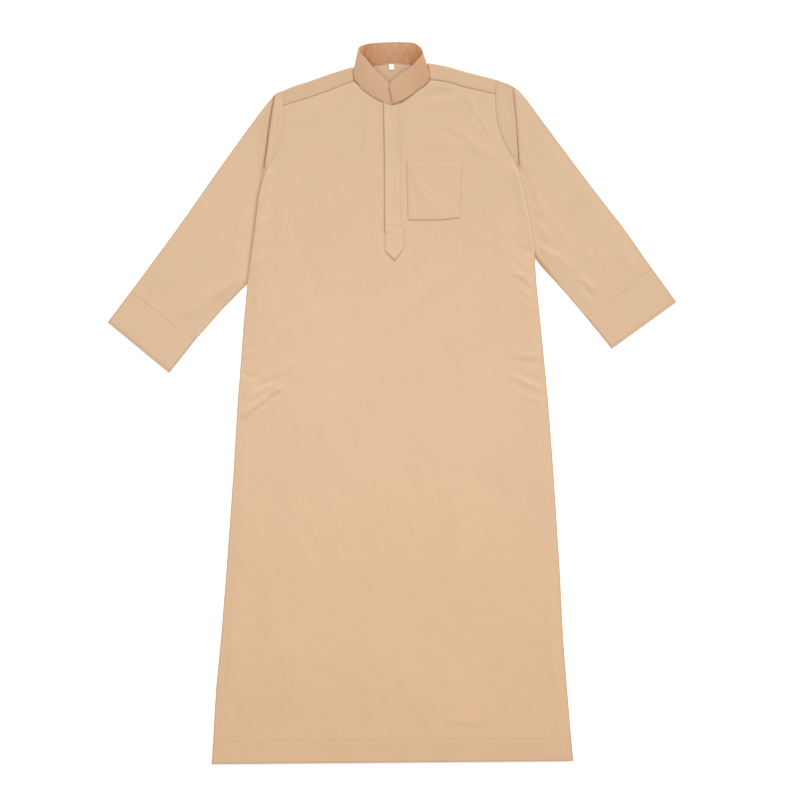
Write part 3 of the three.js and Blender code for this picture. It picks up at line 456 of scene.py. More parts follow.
@dataclass(frozen=True)
class ThreadFinish:
    """Spun sewing thread: a twist across each stitch."""

    name: str
    colour: Colour
    twist: float = 900.0
    darkest: float = 0.82
    lightest: float = 1.12

    def material(self) -> bpy.types.Material:
        """The thread as a node material."""
        base = {"Sheen Weight": 0.2, "Specular IOR Level": 0.35, "Roughness": 0.55}
        paint = Paint(self.name, base, self.colour)
        ply = paint.node("TexNoise", "Fac", {"Scale": self.twist, "Vector": paint.spot()})
        reach = {"To Min": self.darkest, "To Max": self.lightest}
        shade = paint.node("MapRange", "Result", {**reach, "Value": ply})
        paint.feed(
            paint.shader, {"Base Color": paint.vector("SCALE", {0: self.colour, "Scale": shade})}
        )
        return paint.material


@dataclass(frozen=True)
class FloorFinish:
    """A plain pale floor, a little lit from below."""

    name: str = "pale_floor"
    colour: Colour = (0.96, 0.96, 0.96)
    glow: float = 0.3
    roughness: float = 0.9
    specular: float = 0.1

    def material(self) -> bpy.types.Material:
        """The floor as a node material."""
        inputs = {
            "Base Color": (*self.colour, 1.0),
            "Emission Color": (1.0, 1.0, 1.0, 1.0),
            "Emission Strength": self.glow,
            "Roughness": self.roughness,
            "Specular IOR Level": self.specular,
        }
        return Paint(self.name, inputs).material


@dataclass
class Wardrobe:
    """The finishes, made once each: the cloths and the threads of each slot."""

    cloths: dict[Slot, bpy.types.Material]
    threads: dict[Slot, bpy.types.Material]

    @classmethod
    def fresh(cls) -> "Wardrobe":
        """A new set of materials."""
        tape = ClothFinish("white_tape", (0.86, 0.85, 0.84), 0.5, weave=Weave(yarn=0.0003))
        beige = ThreadFinish("beige_thread", (0.56, 0.375, 0.235)).material()
        return cls(
            cloths={
                Slot.CLOTH: ClothFinish("beige_cotton", (0.598, 0.408, 0.26)).material(),
                # Painted shade: the collar is the body's cotton, given a darker colour for the
                # standing band.
                Slot.COLLAR: ClothFinish("collar_cotton_shaded", (0.585, 0.357, 0.21), 0.58).material(),
                Slot.LABEL: tape.material(),
            },
            threads={
                Slot.CLOTH: beige,
                Slot.COLLAR: beige,
                Slot.LABEL: ThreadFinish("white_thread", (0.80, 0.79, 0.77)).material(),
            },
        )


# ------------------------------------------------------------------ cloth and sewing


class Facing(Enum):
    """Which way the outer side of a piece looks."""

    UP = 1
    DOWN = -1
    OUT = 0


def mapped_mesh(
    columns: int, rows: int, place: Place, facing: Facing, tone: PaintedLight | None = None
) -> bmesh.types.BMesh:
    """A grid laid out in space by a function.

    Args:
        columns: Cells across.
        rows: Cells along.
        place: Gives, for a column and a row, the spot in millimetres and its place on the cut.
        facing: Where the outer side looks. A piece that faces out is a tube: its last column meets
            its first.
        tone: Gives, for a spot with its column and row, how much painted shade darkens it there;
            below 0, a painted highlight.

    Returns:
        The mesh in metres, with the cut as its UV map.
    """
    bm = bmesh.new()
    bmesh.ops.create_grid(bm, x_segments=columns, y_segments=rows, size=1.0)
    cut = bm.loops.layers.uv.new("cut")
    # The 'deep' layer holds painted shade, and a painted highlight where it is below 0.
    deep = bm.verts.layers.float.new("deep") if tone else None
    flat: dict[int, Point] = {}
    bm.verts.index_update()
    for vert in bm.verts:
        i = round((vert.co.x + 1) / 2 * columns)
        j = round((vert.co.y + 1) / 2 * rows)
        spot, flat[vert.index] = place(i, j)
        vert.co = spot * MM
        if tone:
            vert[deep] = tone(spot, i, j)
    for face in bm.faces:
        face.smooth = True
        for loop in face.loops:
            loop[cut].uv = [length * MM for length in flat[loop.vert.index]]
    bm.normal_update()
    if facing is Facing.OUT:
        bmesh.ops.remove_doubles(bm, verts=bm.verts, dist=1e-6)
        middles = [(f, f.calc_center_median()) for f in bm.faces]
        centre = sum((m for _, m in middles), Vector()) / len(bm.faces)
        right_way = sum((m - centre).dot(f.normal) * f.calc_area() for f, m in middles)
    else:
        right_way = sum(f.normal.z * f.calc_area() for f in bm.faces) * facing.value
    if right_way < 0:
        bmesh.ops.reverse_faces(bm, faces=bm.faces)
    return bm


def finished(bm: bmesh.types.BMesh, name: str, material: bpy.types.Material) -> bpy.types.Object:
    """The mesh as an object at the origin, with its material."""
    mesh = bpy.data.meshes.new(name)
    bm.to_mesh(mesh)
    bm.free()
    mesh.materials.append(material)
    made = bpy.data.objects.new(name, mesh)
    bpy.context.scene.collection.objects.link(made)
    return made


@dataclass(frozen=True)
class Stitch:
    """One stitch: how long it shows, how far it is to the next one, and how thick it is."""

    length: float = 2.3
    pitch: float = 3.3
    width: float = 0.55
    shortest: float = 0.2


@dataclass
class Sewing:
    """Stitches as short plump dashes of thread that lie half in the cloth."""

    name: str
    material: bpy.types.Material
    stitch: Stitch
    paths: list[list[Vector]] = field(default_factory=list)

    def along(
        self,
        points: Sequence[Point],
        height: Callable[[float, float], float],
        rounded: bool = False,
    ) -> None:
        """Adds a run of stitches on a surface.

        Args:
            points: The seam, seen from above.
            height: Outer height of the cloth at a spot.
            rounded: Whether a soft curve goes through the points.
        """
        spots = Line(points, rounded).spaced(self.stitch.pitch)
        self.paths.append([Vector((p.x, p.y, height(p.x, p.y))) for p in spots])

    def sewn(self) -> bpy.types.Object:
        """All the runs as one object.

        Returns:
            The stitches, each a slim closed form with a few faces.
        """
        bm = bmesh.new()
        stitch = self.stitch
        for path in self.paths:
            for a, b in zip(path, path[1:]):
                run = b - a
                if run.length < stitch.shortest * stitch.pitch:
                    continue
                long = stitch.length * run.length / stitch.pitch
                size = Matrix.Diagonal((long, stitch.width, stitch.width, 1.0))
                turned = run.to_track_quat("X", "Z").to_matrix().to_4x4()
                spot = Matrix.Translation((a + b) / 2 * MM)
                placed = spot @ turned @ Matrix.Scale(MM, 4) @ size
                bmesh.ops.create_uvsphere(
                    bm, u_segments=6, v_segments=4, radius=0.5, matrix=placed
                )
        for face in bm.faces:
            face.smooth = True
        return finished(bm, self.name, self.material)


@dataclass(frozen=True)
class Cut:
    """The flat cloth that a piece was cut from, in metres."""

    width: float
    length: float
    area: float | None = None


class Piece:
    """A cut piece of cloth, with its sewing, in the place of one solid.

    Each kind states its names, its flat cut and what it lies on or is sewn to, and places its grid.
    """

    name = ""
    node = ""
    columns = 1
    rows = 1
    flat = Cut(0.0, 0.0)
    rests_on: tuple[str, ...] = ()
    facing = Facing.UP
    slot = Slot.CLOTH
    stitch = Stitch()
    thickness = 0.7
    wall_offset = -1.0
    rim = 0.2
    rim_segments = 2
    rim_angle = 62.0
    # Painted shade for each corner of the grid, or none.
    tone: PaintedLight | None = None

    def grid(self) -> tuple[int, int]:
        """Cells across and along."""
        return self.columns, self.rows

    def place(self, i: int, j: int) -> tuple[Vector, Point]:
        """Where a corner of the grid lies.

        Args:
            i: Its column.
            j: Its row.

        Returns:
            The spot in millimetres, and its place on the flat cut.
        """
        raise NotImplementedError

    def mesh(self) -> bmesh.types.BMesh:
        """The outer face, before it gets its wall."""
        return mapped_mesh(*self.grid(), self.place, self.facing, self.tone)

    def sew(self, sewing: Sewing) -> None:
        """Adds the runs of stitches. A plain piece has none."""

    def build(self, wardrobe: Wardrobe) -> bpy.types.Object:
        """Makes the piece and sews it.

        Args:
            wardrobe: The finishes.

        Returns:
            The finished piece.
        """
        piece = finished(self.mesh(), self.name, wardrobe.cloths[self.slot])
        self._thicken(piece)
        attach(piece, "root")
        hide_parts(self.node)
        stitches: list[bpy.types.Object] = []
        name = f"{self.name.removesuffix('_cloth')}_stitches"
        sewing = Sewing(name, wardrobe.threads[self.slot], self.stitch)
        self.sew(sewing)
        if sewing.paths:
            stitches.append(sewing.sewn())
            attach(stitches[0], "root")
        list(self.rests_on)
        faces = len(piece.data.polygons)
        LOG.info("%s: %d faces, stitched %s", piece.name, faces, bool(stitches))
        return piece

    def _thicken(self, piece: bpy.types.Object) -> None:
        """Gives a shell its thickness and softens its rim."""
        wall = piece.modifiers.new("wall", "SOLIDIFY")
        wall.thickness = self.thickness * MM
        wall.offset = self.wall_offset
        edge = piece.modifiers.new("rim", "BEVEL")
        edge.width = self.rim * MM
        edge.segments = self.rim_segments
        edge.limit_method = "ANGLE"
        edge.angle_limit = math.radians(self.rim_angle)


# ------------------------------------------------------------------ how the garment lies


@dataclass(frozen=True)
class Armhole:
    """One armhole from the shoulder fold to the underarm.

    Each row has the crease's X and Y, the seam's X and Y, and lift: 1 where the sleeve's top layer
    lies out over the fold, 0 where the front does.
    """

    side: int
    rows: tuple[tuple[float, float, float, float, float], ...]
    SEAM_X = 2
    SEAM_Y = 3
    LIFT = 4

    @cached_property
    def crease(self) -> Line:
        """The line of the crease."""
        return Line([(r[0], r[1]) for r in self.rows])

    def value(self, share: float, column: int) -> float:
        """A column of the table at a share of the crease's length."""
        shares = self.crease.shares
        i = min(max(1, bisect_left(shares, share)), len(shares) - 1)
        t = clamp((share - shares[i - 1]) / (shares[i] - shares[i - 1]))
        return mix(self.rows[i - 1][column], self.rows[i][column], t)


ARMHOLE_RIGHT = Armhole(
    -1,
    (
        (-244.5, 649.5, -230.5, 655, 1), (-248, 630, -229, 632, 1), (-251, 612, -229, 611, 1),
        (-257, 571, -232, 575, 1), (-262, 530, -242, 535, 1), (-266, 505, -254, 508, 1),
        (-269.5, 483.5, -266, 486, 0), (-274, 462, -262, 463, 0), (-280.5, 434.5, -266, 435, 0),
        (-287.5, 376, -273, 377, 0), (-295.5, 314, -284, 314, 0), (-299, 285, -299.8, 285, 0),
        (-303.5, 250, -304.3, 250.4, 0),
    ),
)  # fmt: skip
ARMHOLE_LEFT = Armhole(
    1,
    (
        (251, 666.5, 219, 678.5, 1), (253, 652, 217, 655, 1), (255, 627, 217.3, 626, 1),
        (257.3, 605, 218.6, 604, 1), (259.2, 583, 222.6, 582, 1), (261, 560, 229.5, 560, 1),
        (263, 532, 244, 531, 1), (264.5, 512, 255.5, 511, 1), (266, 490, 264.5, 491, 0),
        (268.5, 471, 257, 470, 0), (276, 445, 262, 444, 0), (284, 404.5, 270, 404, 0),
        (292, 364.5, 280, 364, 0), (297, 335, 297.8, 335, 0), (300, 305.5, 300.8, 305.9, 0),
    ),
)  # fmt: skip
BACK_ARMHOLE_RIGHT = (
    (-230.5, 655), (-236, 605), (-243, 540), (-252, 440), (-272, 340), (-303.5, 250),
)  # fmt: skip
BACK_ARMHOLE_LEFT = ((219, 678.5), (228, 605), (236, 550), (248, 460), (270, 375), (300, 305.5))
SIDE_RIGHT = (
    (-303.5, 250), (-311, 170), (-319, 61), (-323.5, 6.5), (-332.5, -145),
    (-347, -346.5), (-359, -497.5), (-369, -598.5), (-378, -757.5),
)  # fmt: skip
SIDE_LEFT = (
    (300, 305.5), (303, 254), (315, 136.5), (327.5, 6.5), (339, -145),
    (352, -346.5), (359.5, -497.5), (367.5, -598.5), (380, -751),
)  # fmt: skip
YOKE_SEAM_RIGHT = ((-229, 623.5), (-174.5, 640.5), (-130, 656.5), (-98, 669), (-80.5, 675.5))
YOKE_SEAM_LEFT = ((217, 648), (183, 656), (148, 664), (127, 671), (105, 675.5), (80.5, 678))
SHOULDER_RIGHT = ((-230.5, 655), (-206, 665.5), (-178.5, 674), (-130, 691), (-82.5, 706))
SHOULDER_LEFT = (
    (219, 678.5), (206, 682.5), (172, 691), (140.5, 699.5), (111.5, 707.5), (74.5, 714.2),
)  # fmt: skip
NECK_FRONT = (
    (-80.5, 675.5), (-72.5, 669.5), (-61.5, 657.5), (-45.5, 646), (-27.5, 635), (-11, 627.5),
    (0, 625.5),
    (8, 627), (22.5, 634.5), (41.5, 645.5), (54.5, 656.5), (68, 664.5), (76.5, 672.5), (80.5, 678),
)  # fmt: skip
NECK_BACK = (
    (-83.6, 702.8), (-80, 700.4), (-74.8, 702.7), (-71.5, 704.4), (-60, 706.2), (-44, 707.1),
    (-22, 710.1), (2, 712.6), (26, 711.6), (46, 708.6), (60, 707.1), (69, 704.4), (72, 702.7),
    (77, 700.4), (79.5, 705),
)  # fmt: skip
BODY_FOLDS = folds_of(
    (-308, -24, -240, 28, 2.9, 5, 0.3), (-288, -30, -252, -2, 0.9, 5),
    (-262, 12, -238, 20, -1.1, 4), (-276, 36, -228, 58, -1.5, 5),
    (-250, 34, -212, 80, 1.7, 6, 0.2), (-292, 16, -262, 34, 1.2, 5),
    (-316, 60, -284, 52, -1.0, 6), (-316, 98, -288, 106, 0.9, 6),
    (-216, 90, -244, 50, 0.9, 9, -0.2), (-286, 366, -256, 392, 1.4, 5),
    (-284, 340, -262, 360, 1.0, 5), (-288, 290, -254, 314, 1.4, 6),
    (-262, 296, -246, 274, -0.4, 7), (-286, 130, -246, 208, 1.2, 9),
    (-156, 237, -138, 264, 0.8, 6), (-135, 513, -97, 538, 0.9, 7),
    (-245, -542, -229, -506, 0.8, 10), (250, 272, 270, 266, 1.5, 4, 0.2),
    (270, 266, 292, 248, 1.6, 4, 0.2), (246, 290, 286, 262, 0.9, 5),
    (252, 312, 284, 280, 0.9, 5), (266, 326, 292, 316, -1.2, 5), (262, 246, 296, 218, 1.0, 5),
    (258, 226, 296, 196, 0.8, 6), (258, 102, 308, 98, 1.3, 4.5), (262, 88, 306, 82, -0.8, 5),
    (257, 54, 306, 30, 1.4, 5, 0.2), (270, 62, 310, 44, -0.7, 5), (280, 12, 318, 4, 0.9, 5),
    (268, -162, 273, -224, 0.9, 7), (153, 649, 176, 598, 1.0, 5), (164, 636, 204, 565, 1.1, 5),
    (151, 620, 193, 556, 1.2, 5.5), (139, 607, 189, 540, 1.0, 5), (126, 599, 181, 531, 0.9, 5.5),
    (120, 577, 199, 527, 1.3, 7, 0.2), (113, 556, 210, 516, 1.0, 7), (86, 544, 160, 530, 0.8, 9),
    (84, 671, 116, 663, 1.3, 5), (60, 641, 118, 650, -1.4, 9), (96, 630, 130, 640, 0.9, 8),
    (-48, 614, -55, 534, 1.7, 7.5), (-120, 640, -215, 560, 1.0, 18),
    (25, 193, 113, 269, 1.4, 14), (60, 455, 100, 400, 0.8, 12), (-222, 452, -246, 300, 1.5, 15),
    (-258, 470, -282, 330, 1.2, 9), (-60, -150, -90, -420, 0.9, 26),
    (130, -120, 150, -420, 0.9, 26), (-180, -260, -205, -640, 0.8, 24),
    (230, -60, 262, -330, 0.8, 20), (20, -420, 35, -690, 0.7, 24),
    (128, -668, 184, -669, 1.2, 9, 0.3), (-250, -420, -262, -600, 0.7, 18),
    (-120, 480, -160, 330, 0.8, 22), (190, 470, 236, 330, 1.0, 18),
)  # fmt: skip


@dataclass(frozen=True)
class Lay:
    """How the layers of the garment lie on the table, in millimetres."""

    half_length: float = 757.5
    hem_depth: float = 46.0
    hem_rise: float = 6.5
    hem_settle: float = 50.0
    cloth: float = 0.7
    tuck_top: float = 2.6
    seam_top: float = 3.1
    body_top: float = 4.4
    crease_top: float = 7.2
    chest_y: float = 560.0
    yoke_back_y: float = 605.0
    folds: tuple[Fold, ...] = BODY_FOLDS

    def hem_y(self, x: float) -> float:
        """Y of the hem's folded edge."""
        right, left = SIDE_RIGHT[-1][0], SIDE_LEFT[-1][0]
        return -self.half_length + self.hem_rise * (x - right) / (left - right)

    def hem_line_y(self, x: float) -> float:
        """Y of the row of stitches that holds the hem."""
        return self.hem_y(x) + self.hem_depth

    def above_hem(self, y: float) -> float:
        """Distance from the hem's stitches up to a height."""
        return y + self.half_length - self.hem_depth

    def hemmed(self, x: float, y: float) -> float:
        """A height of the straight body, moved with the slope of the hem near its foot."""
        share = 1 - smooth((y + self.half_length) / (self.hem_depth + self.hem_settle))
        return y + (self.hem_y(x) + self.half_length) * share


class FrontShape:
    """The front's outline and the height of its outer face, without its turned edges."""

    SETTLE = 26.0
    SEAM_GAP = 0.4
    # Swells: height, stretch in x and y, reach, layer.
    BROAD = ((1.3, 1, 1, 210, 3.1), (1.0, 1.5, 0.6, 95, 7.7))
    FINE = ((0.45, 1.5, 0.8, 34, 1.3), (0.2, 1, 1, 15, 4.9))
    # Grooves beside the placket: depth, X, half width, then the lower and the upper end, each
    # with the length of its fade.
    GROOVES = ((0.9, -18.6, 2.6, 366, 8, 628, 6), (1.3, 25.6, 2.0, 314, 6, 368, 6))
    CALM_EDGE = 30.0
    CREASE_FROM = 330.0

    def __init__(self, lay: Lay) -> None:
        """Reads the edges from the tables."""
        self.lay = lay
        self.right = self._edge(SIDE_RIGHT, ARMHOLE_RIGHT, YOKE_SEAM_RIGHT[0])
        self.left = self._edge(SIDE_LEFT, ARMHOLE_LEFT, YOKE_SEAM_LEFT[0])
        self.top = Line([*YOKE_SEAM_RIGHT, *NECK_FRONT[1:], *YOKE_SEAM_LEFT[::-1][1:]])
        self.underarm = {-1: SIDE_RIGHT[0][1], 1: SIDE_LEFT[0][1]}
        self.crossing = {-1: 486.0, 1: 491.0}

    @classmethod
    def _edge(cls, side: Sequence[Point], armhole: Armhole, top: Point) -> Line:
        """One long edge from the hem to the yoke seam."""
        gap = armhole.side * cls.SEAM_GAP
        rows = [r for r in armhole.rows if r[3] < top[1]]
        crossed = next(r for r in rows if not r[4])
        upper = [(r[2] - gap, r[3]) if r[4] or r is crossed else (r[0], r[1]) for r in rows]
        upper.sort(key=lambda spot: spot[1])
        return Line([*side[::-1], *upper[1:], (top[0] - gap, top[1])])

    def crease_share(self, y: float, side: int) -> float:
        """How far the front is the upper side of the armhole's crease at a height: 0 or up to 1."""
        past = smooth((y - self.underarm[side]) / 90.0)
        return past * smooth((self.crossing[side] + 12.0 - y) / 20.0)

    def edge_height(self, y: float, side: int) -> float:
        """Height of the outer face at a side edge, just inside its turn."""
        lay = self.lay
        seam = mix(lay.seam_top + 1.0, lay.seam_top, smooth(lay.above_hem(y) / 60))
        held = mix(seam, lay.body_top, smooth((y - self.underarm[side]) / 40.0))
        share = self.crease_share(y, side) * mix(0.75, 1.0, smooth((y - self.CREASE_FROM) / 120))
        return mix(held, lay.crease_top, share)

    def height(self, x: float, y: float) -> float:
        """Height of the outer face anywhere.

        Args:
            x: Across the garment.
            y: Along it.

        Returns:
            Millimetres above the table.
        """
        lay = self.lay
        from_right = x - self.right.x_at(y)
        from_left = self.left.x_at(y) - x
        side, near = (-1, from_right) if from_right < from_left else (1, from_left)
        middle = mix(lay.body_top + 0.6, lay.body_top, smooth(lay.above_hem(y) / 50))
        plain = mix(self.edge_height(y, side), middle, smooth(near / self.SETTLE))
        calm = smooth(near / self.CALM_EDGE) * smooth((y + lay.half_length) / 60.0)
        top_room = smooth((self.top.y_at(x) - y) / 26.0)
        broad = swelling(self.BROAD, x, y) + 0.7
        free = 1.0 - 0.75 * bump((x - 5) / 38) * smooth((y - 290) / 40)
        lifted = folded(lay.folds, x, y) * smooth(near / 7.0) * mix(0.25, 1.0, top_room)
        hem = 0.22 * bump((y - lay.hem_line_y(x)) / 2.6)
        sunk = sum(
            deep * bump((x - at) / half) * smooth((y - low) / rise) * smooth((high - y) / drop)
            for deep, at, half, low, rise, high, drop in self.GROOVES
        )
        soft = (broad * free + swelling(self.FINE, x, y)) * calm * top_room
        return plain + soft + lifted - hem - sunk


@dataclass
class FrontPanel(Piece):
    """The front: one cut from the hem to the neck and the yoke seams, slit under the placket."""

    shape: FrontShape
    columns: int = 132
    rows: int = 236
    top_cells: int = 24
    turn_under: float = 11.0
    edge_room: float = 3.2
    least_turn: float = 0.55
    slit_x: float = 4.5
    slit_end: float = 330.0
    slit_half: float = 0.4
    slit_reach: float = 20.0
    seam_dip: float = 0.4
    name = "front"
    node = "front_panel"
    flat = Cut(0.78, 1.47, 1.01)
    rests_on = ("back_panel", "placket_under", "sleeve_right", "sleeve_left")

    def _row_weight(self, share: float) -> float:
        """How close the rows of the grid lie at a share of the way up to the chest."""
        lay = self.shape.lay
        y = mix(-lay.half_length, lay.chest_y, share)
        hem = 4.0 * bump(lay.above_hem(y) / 8)
        return 1.0 + hem + 0.7 * bump((y - 35) / 75) + 0.6 * bump((y - 270) / 60)

    @staticmethod
    def _column_weight(share: float) -> float:
        """How close the columns of the grid lie at a share of the way across."""
        edge = smooth(1 - min(share, 1 - share) / 0.16)
        lip, tab = bump((share - 0.4675) / 0.011), bump((share - 0.5412) / 0.009)
        return 1.0 + 0.9 * edge + 4.0 * lip + 3.0 * tab

    @cached_property
    def edge(self) -> list[Point]:
        """Columns of the turned edge: inset from the edge and share of the height."""
        return [(-self.turn_under, 0.0), *edge_roll(1.0)]

    @cached_property
    def across(self) -> list[float]:
        """Shares of the way across for the columns between the turned edges."""
        return paced(self.columns, self._column_weight)

    @cached_property
    def up(self) -> list[tuple[float, float, float]]:
        """Rows: height on the plain body, share from the chest to the top edge, turn at the hem."""
        foot, chest = -self.shape.lay.half_length, self.shape.lay.chest_y
        shares = [*[k / self.top_cells for k in range(1, self.top_cells)], 0.98, 1.0]
        return [
            (foot + self.turn_under, 0.0, 0.0),
            *[(foot + inset, 0.0, max(share, 0.001)) for inset, share in edge_roll(1.0)[:-1]],
            *[(mix(foot + 3.0, chest, s), 0.0, 1.0) for s in paced(self.rows, self._row_weight)],
            *[(chest, share, 1.0) for share in shares],
        ]

    def grid(self) -> tuple[int, int]:
        """Cells across and along."""
        return self.columns + 2 * len(self.edge), len(self.up) - 1

    def _side(self, i: int) -> int:
        """-1 or 1 for a column of a turned edge, and 0 between them."""
        return -1 if i < len(self.edge) else 1 if i > self.columns + len(self.edge) else 0

    def place(self, i: int, j: int) -> tuple[Vector, Point]:
        """Where a corner of the grid lies."""
        shape, lay = self.shape, self.shape.lay
        row_y, top_share, hem_turn = self.up[j]
        edge_y, left_y = row_y, row_y
        if top_share:
            edge_y = mix(lay.chest_y, YOKE_SEAM_RIGHT[0][1], top_share)
            left_y = mix(lay.chest_y, YOKE_SEAM_LEFT[0][1], top_share)
        right_x, left_x = shape.right.x_at(edge_y), shape.left.x_at(left_y)
        side = self._side(i)
        if side:
            inset, turn = self.edge[i if side < 0 else self.grid()[0] - i]
            side_y = edge_y if side < 0 else left_y
            top = shape.edge_height(side_y, side)
            radius = max(self.least_turn, (top - lay.tuck_top - 0.35) / 2)
            radius = mix(0.62, radius, shape.crease_share(side_y, side))
            step = -inset if inset < 0 else inset * radius
            x = (right_x if side < 0 else left_x) - side * step
        else:
            room = self.edge_room
            x = mix(right_x + room, left_x - room, self.across[i - len(self.edge)])
        y = lay.hemmed(x, row_y)
        if top_share:
            y = mix(lay.chest_y, shape.top.y_at(x) - 0.3, top_share)
        if side:
            z = mix(top - 2 * radius - (0.3 if hem_turn < 1 else 0.0), top, turn)
        else:
            z = shape.height(x, min(y, shape.top.y_at(x)))
        if hem_turn < 1:
            z = min(z, mix(2.9, z, hem_turn))
        z -= self.seam_dip * smooth((top_share - 0.93) / 0.07)
        return Vector((x, y, z)), (x, y)

    def tone(self, spot: Vector, i: int, j: int) -> float:
        """Painted shade darkens the turned edges, less so above the right underarm; above the left
        underarm a painted highlight lightens the lit edge.
        """
        side = self._side(i)
        above = smooth((spot.y - self.shape.underarm[side]) / 10.0) if side else 0.0
        return mix(0.8, -0.6 if side > 0 else 0.2, above) if side else 0.0

    def mesh(self) -> bmesh.types.BMesh:
        """The outer face, opened at the neck's slit."""
        bm = super().mesh()
        x, end = self.slit_x * MM, self.slit_end * MM
        near = [(f, f.calc_center_median()) for f in bm.faces]
        near = [f for f, m in near if abs(m.x - x) < self.slit_reach * MM and m.y > end]
        parts = {*near, *(e for f in near for e in f.edges), *(v for f in near for v in f.verts)}
        bmesh.ops.bisect_plane(
            bm, geom=list(parts), plane_co=(x, 0, 0), plane_no=(1, 0, 0), dist=1e-6
        )

        def on_slit(vert: bmesh.types.BMVert) -> bool:
            """Whether a corner lies on the slit."""
            return abs(vert.co.x - x) < 1e-5 and vert.co.y > end

        opened = [e for e in bm.edges if all(on_slit(v) for v in e.verts)]
        bmesh.ops.split_edges(bm, edges=opened)
        for face in bm.faces:
            middle = face.calc_center_median().x
            for vert in face.verts:
                if vert.is_boundary and on_slit(vert):
                    vert.co.x = x + math.copysign(self.slit_half * MM, middle - x)
        bm.normal_update()
        return bm

    def sew(self, sewing: Sewing) -> None:
        """Adds the hem's stitches."""
        lay, height = self.shape.lay, self.shape.height
        hem = [(x, lay.hem_line_y(x)) for x in (-371, -200, 0, 200, 372)]
        sewing.along(hem, lambda x, y: height(x, y) + 0.05)


@dataclass
class BackPanel(Piece):
    """The back: one cut below the yoke, whose hem is turned up inside."""

    lay: Lay
    columns: int = 40
    rows: int = 90
    pace: float = 1.15
    turned: float = 1.9
    side_inset: float = 0.3
    hem_inset: float = 0.8
    name = "back"
    node = "back_panel"
    flat = Cut(0.76, 1.42, 0.93)
    facing = Facing.DOWN

    def __post_init__(self) -> None:
        """Works out the two long edges and the rows, which start inside at the hem's stitches."""
        foot, top = -self.lay.half_length, self.lay.yoke_back_y
        self.edges = [
            Line([*side[::-1], *[p for p in armhole[::-1] if side[0][1] + 0.5 < p[1] < top + 5]])
            for side, armhole in ((SIDE_RIGHT, BACK_ARMHOLE_RIGHT), (SIDE_LEFT, BACK_ARMHOLE_LEFT))
        ]
        shares = [(k / self.rows) ** self.pace for k in range(self.rows + 1)]
        roll = edge_roll(self.turned / 2)[::-1]
        self.up = [
            (foot + self.lay.hem_depth, self.turned),
            *[(foot + inset, self.turned * rise) for inset, rise in roll],
            *[(mix(foot + self.turned, top - 0.4, share), 0.0) for share in shares],
        ]

    def grid(self) -> tuple[int, int]:
        """Cells across and along."""
        return self.columns, len(self.up) - 1

    def place(self, i: int, j: int) -> tuple[Vector, Point]:
        """Where a corner of the grid lies."""
        y, z = self.up[j]
        inside = z > 0.1
        inset = self.hem_inset if inside else 0.0
        right, left = (edge.x_at(y) for edge in self.edges)
        x = mix(right + self.side_inset + inset, left - self.side_inset - inset, i / self.columns)
        y = self.lay.hemmed(x, y)
        return Vector((x, y, z)), (x, y - (j * 0.4 if inside else 0))

    def sew(self, sewing: Sewing) -> None:
        """Adds the hem's stitches, on the inside."""
        hem = [(x, self.lay.hem_line_y(x) - 2.0) for x in (-366, 0, 366)]
        sewing.along(hem, lambda x, y: self.turned + 0.05)


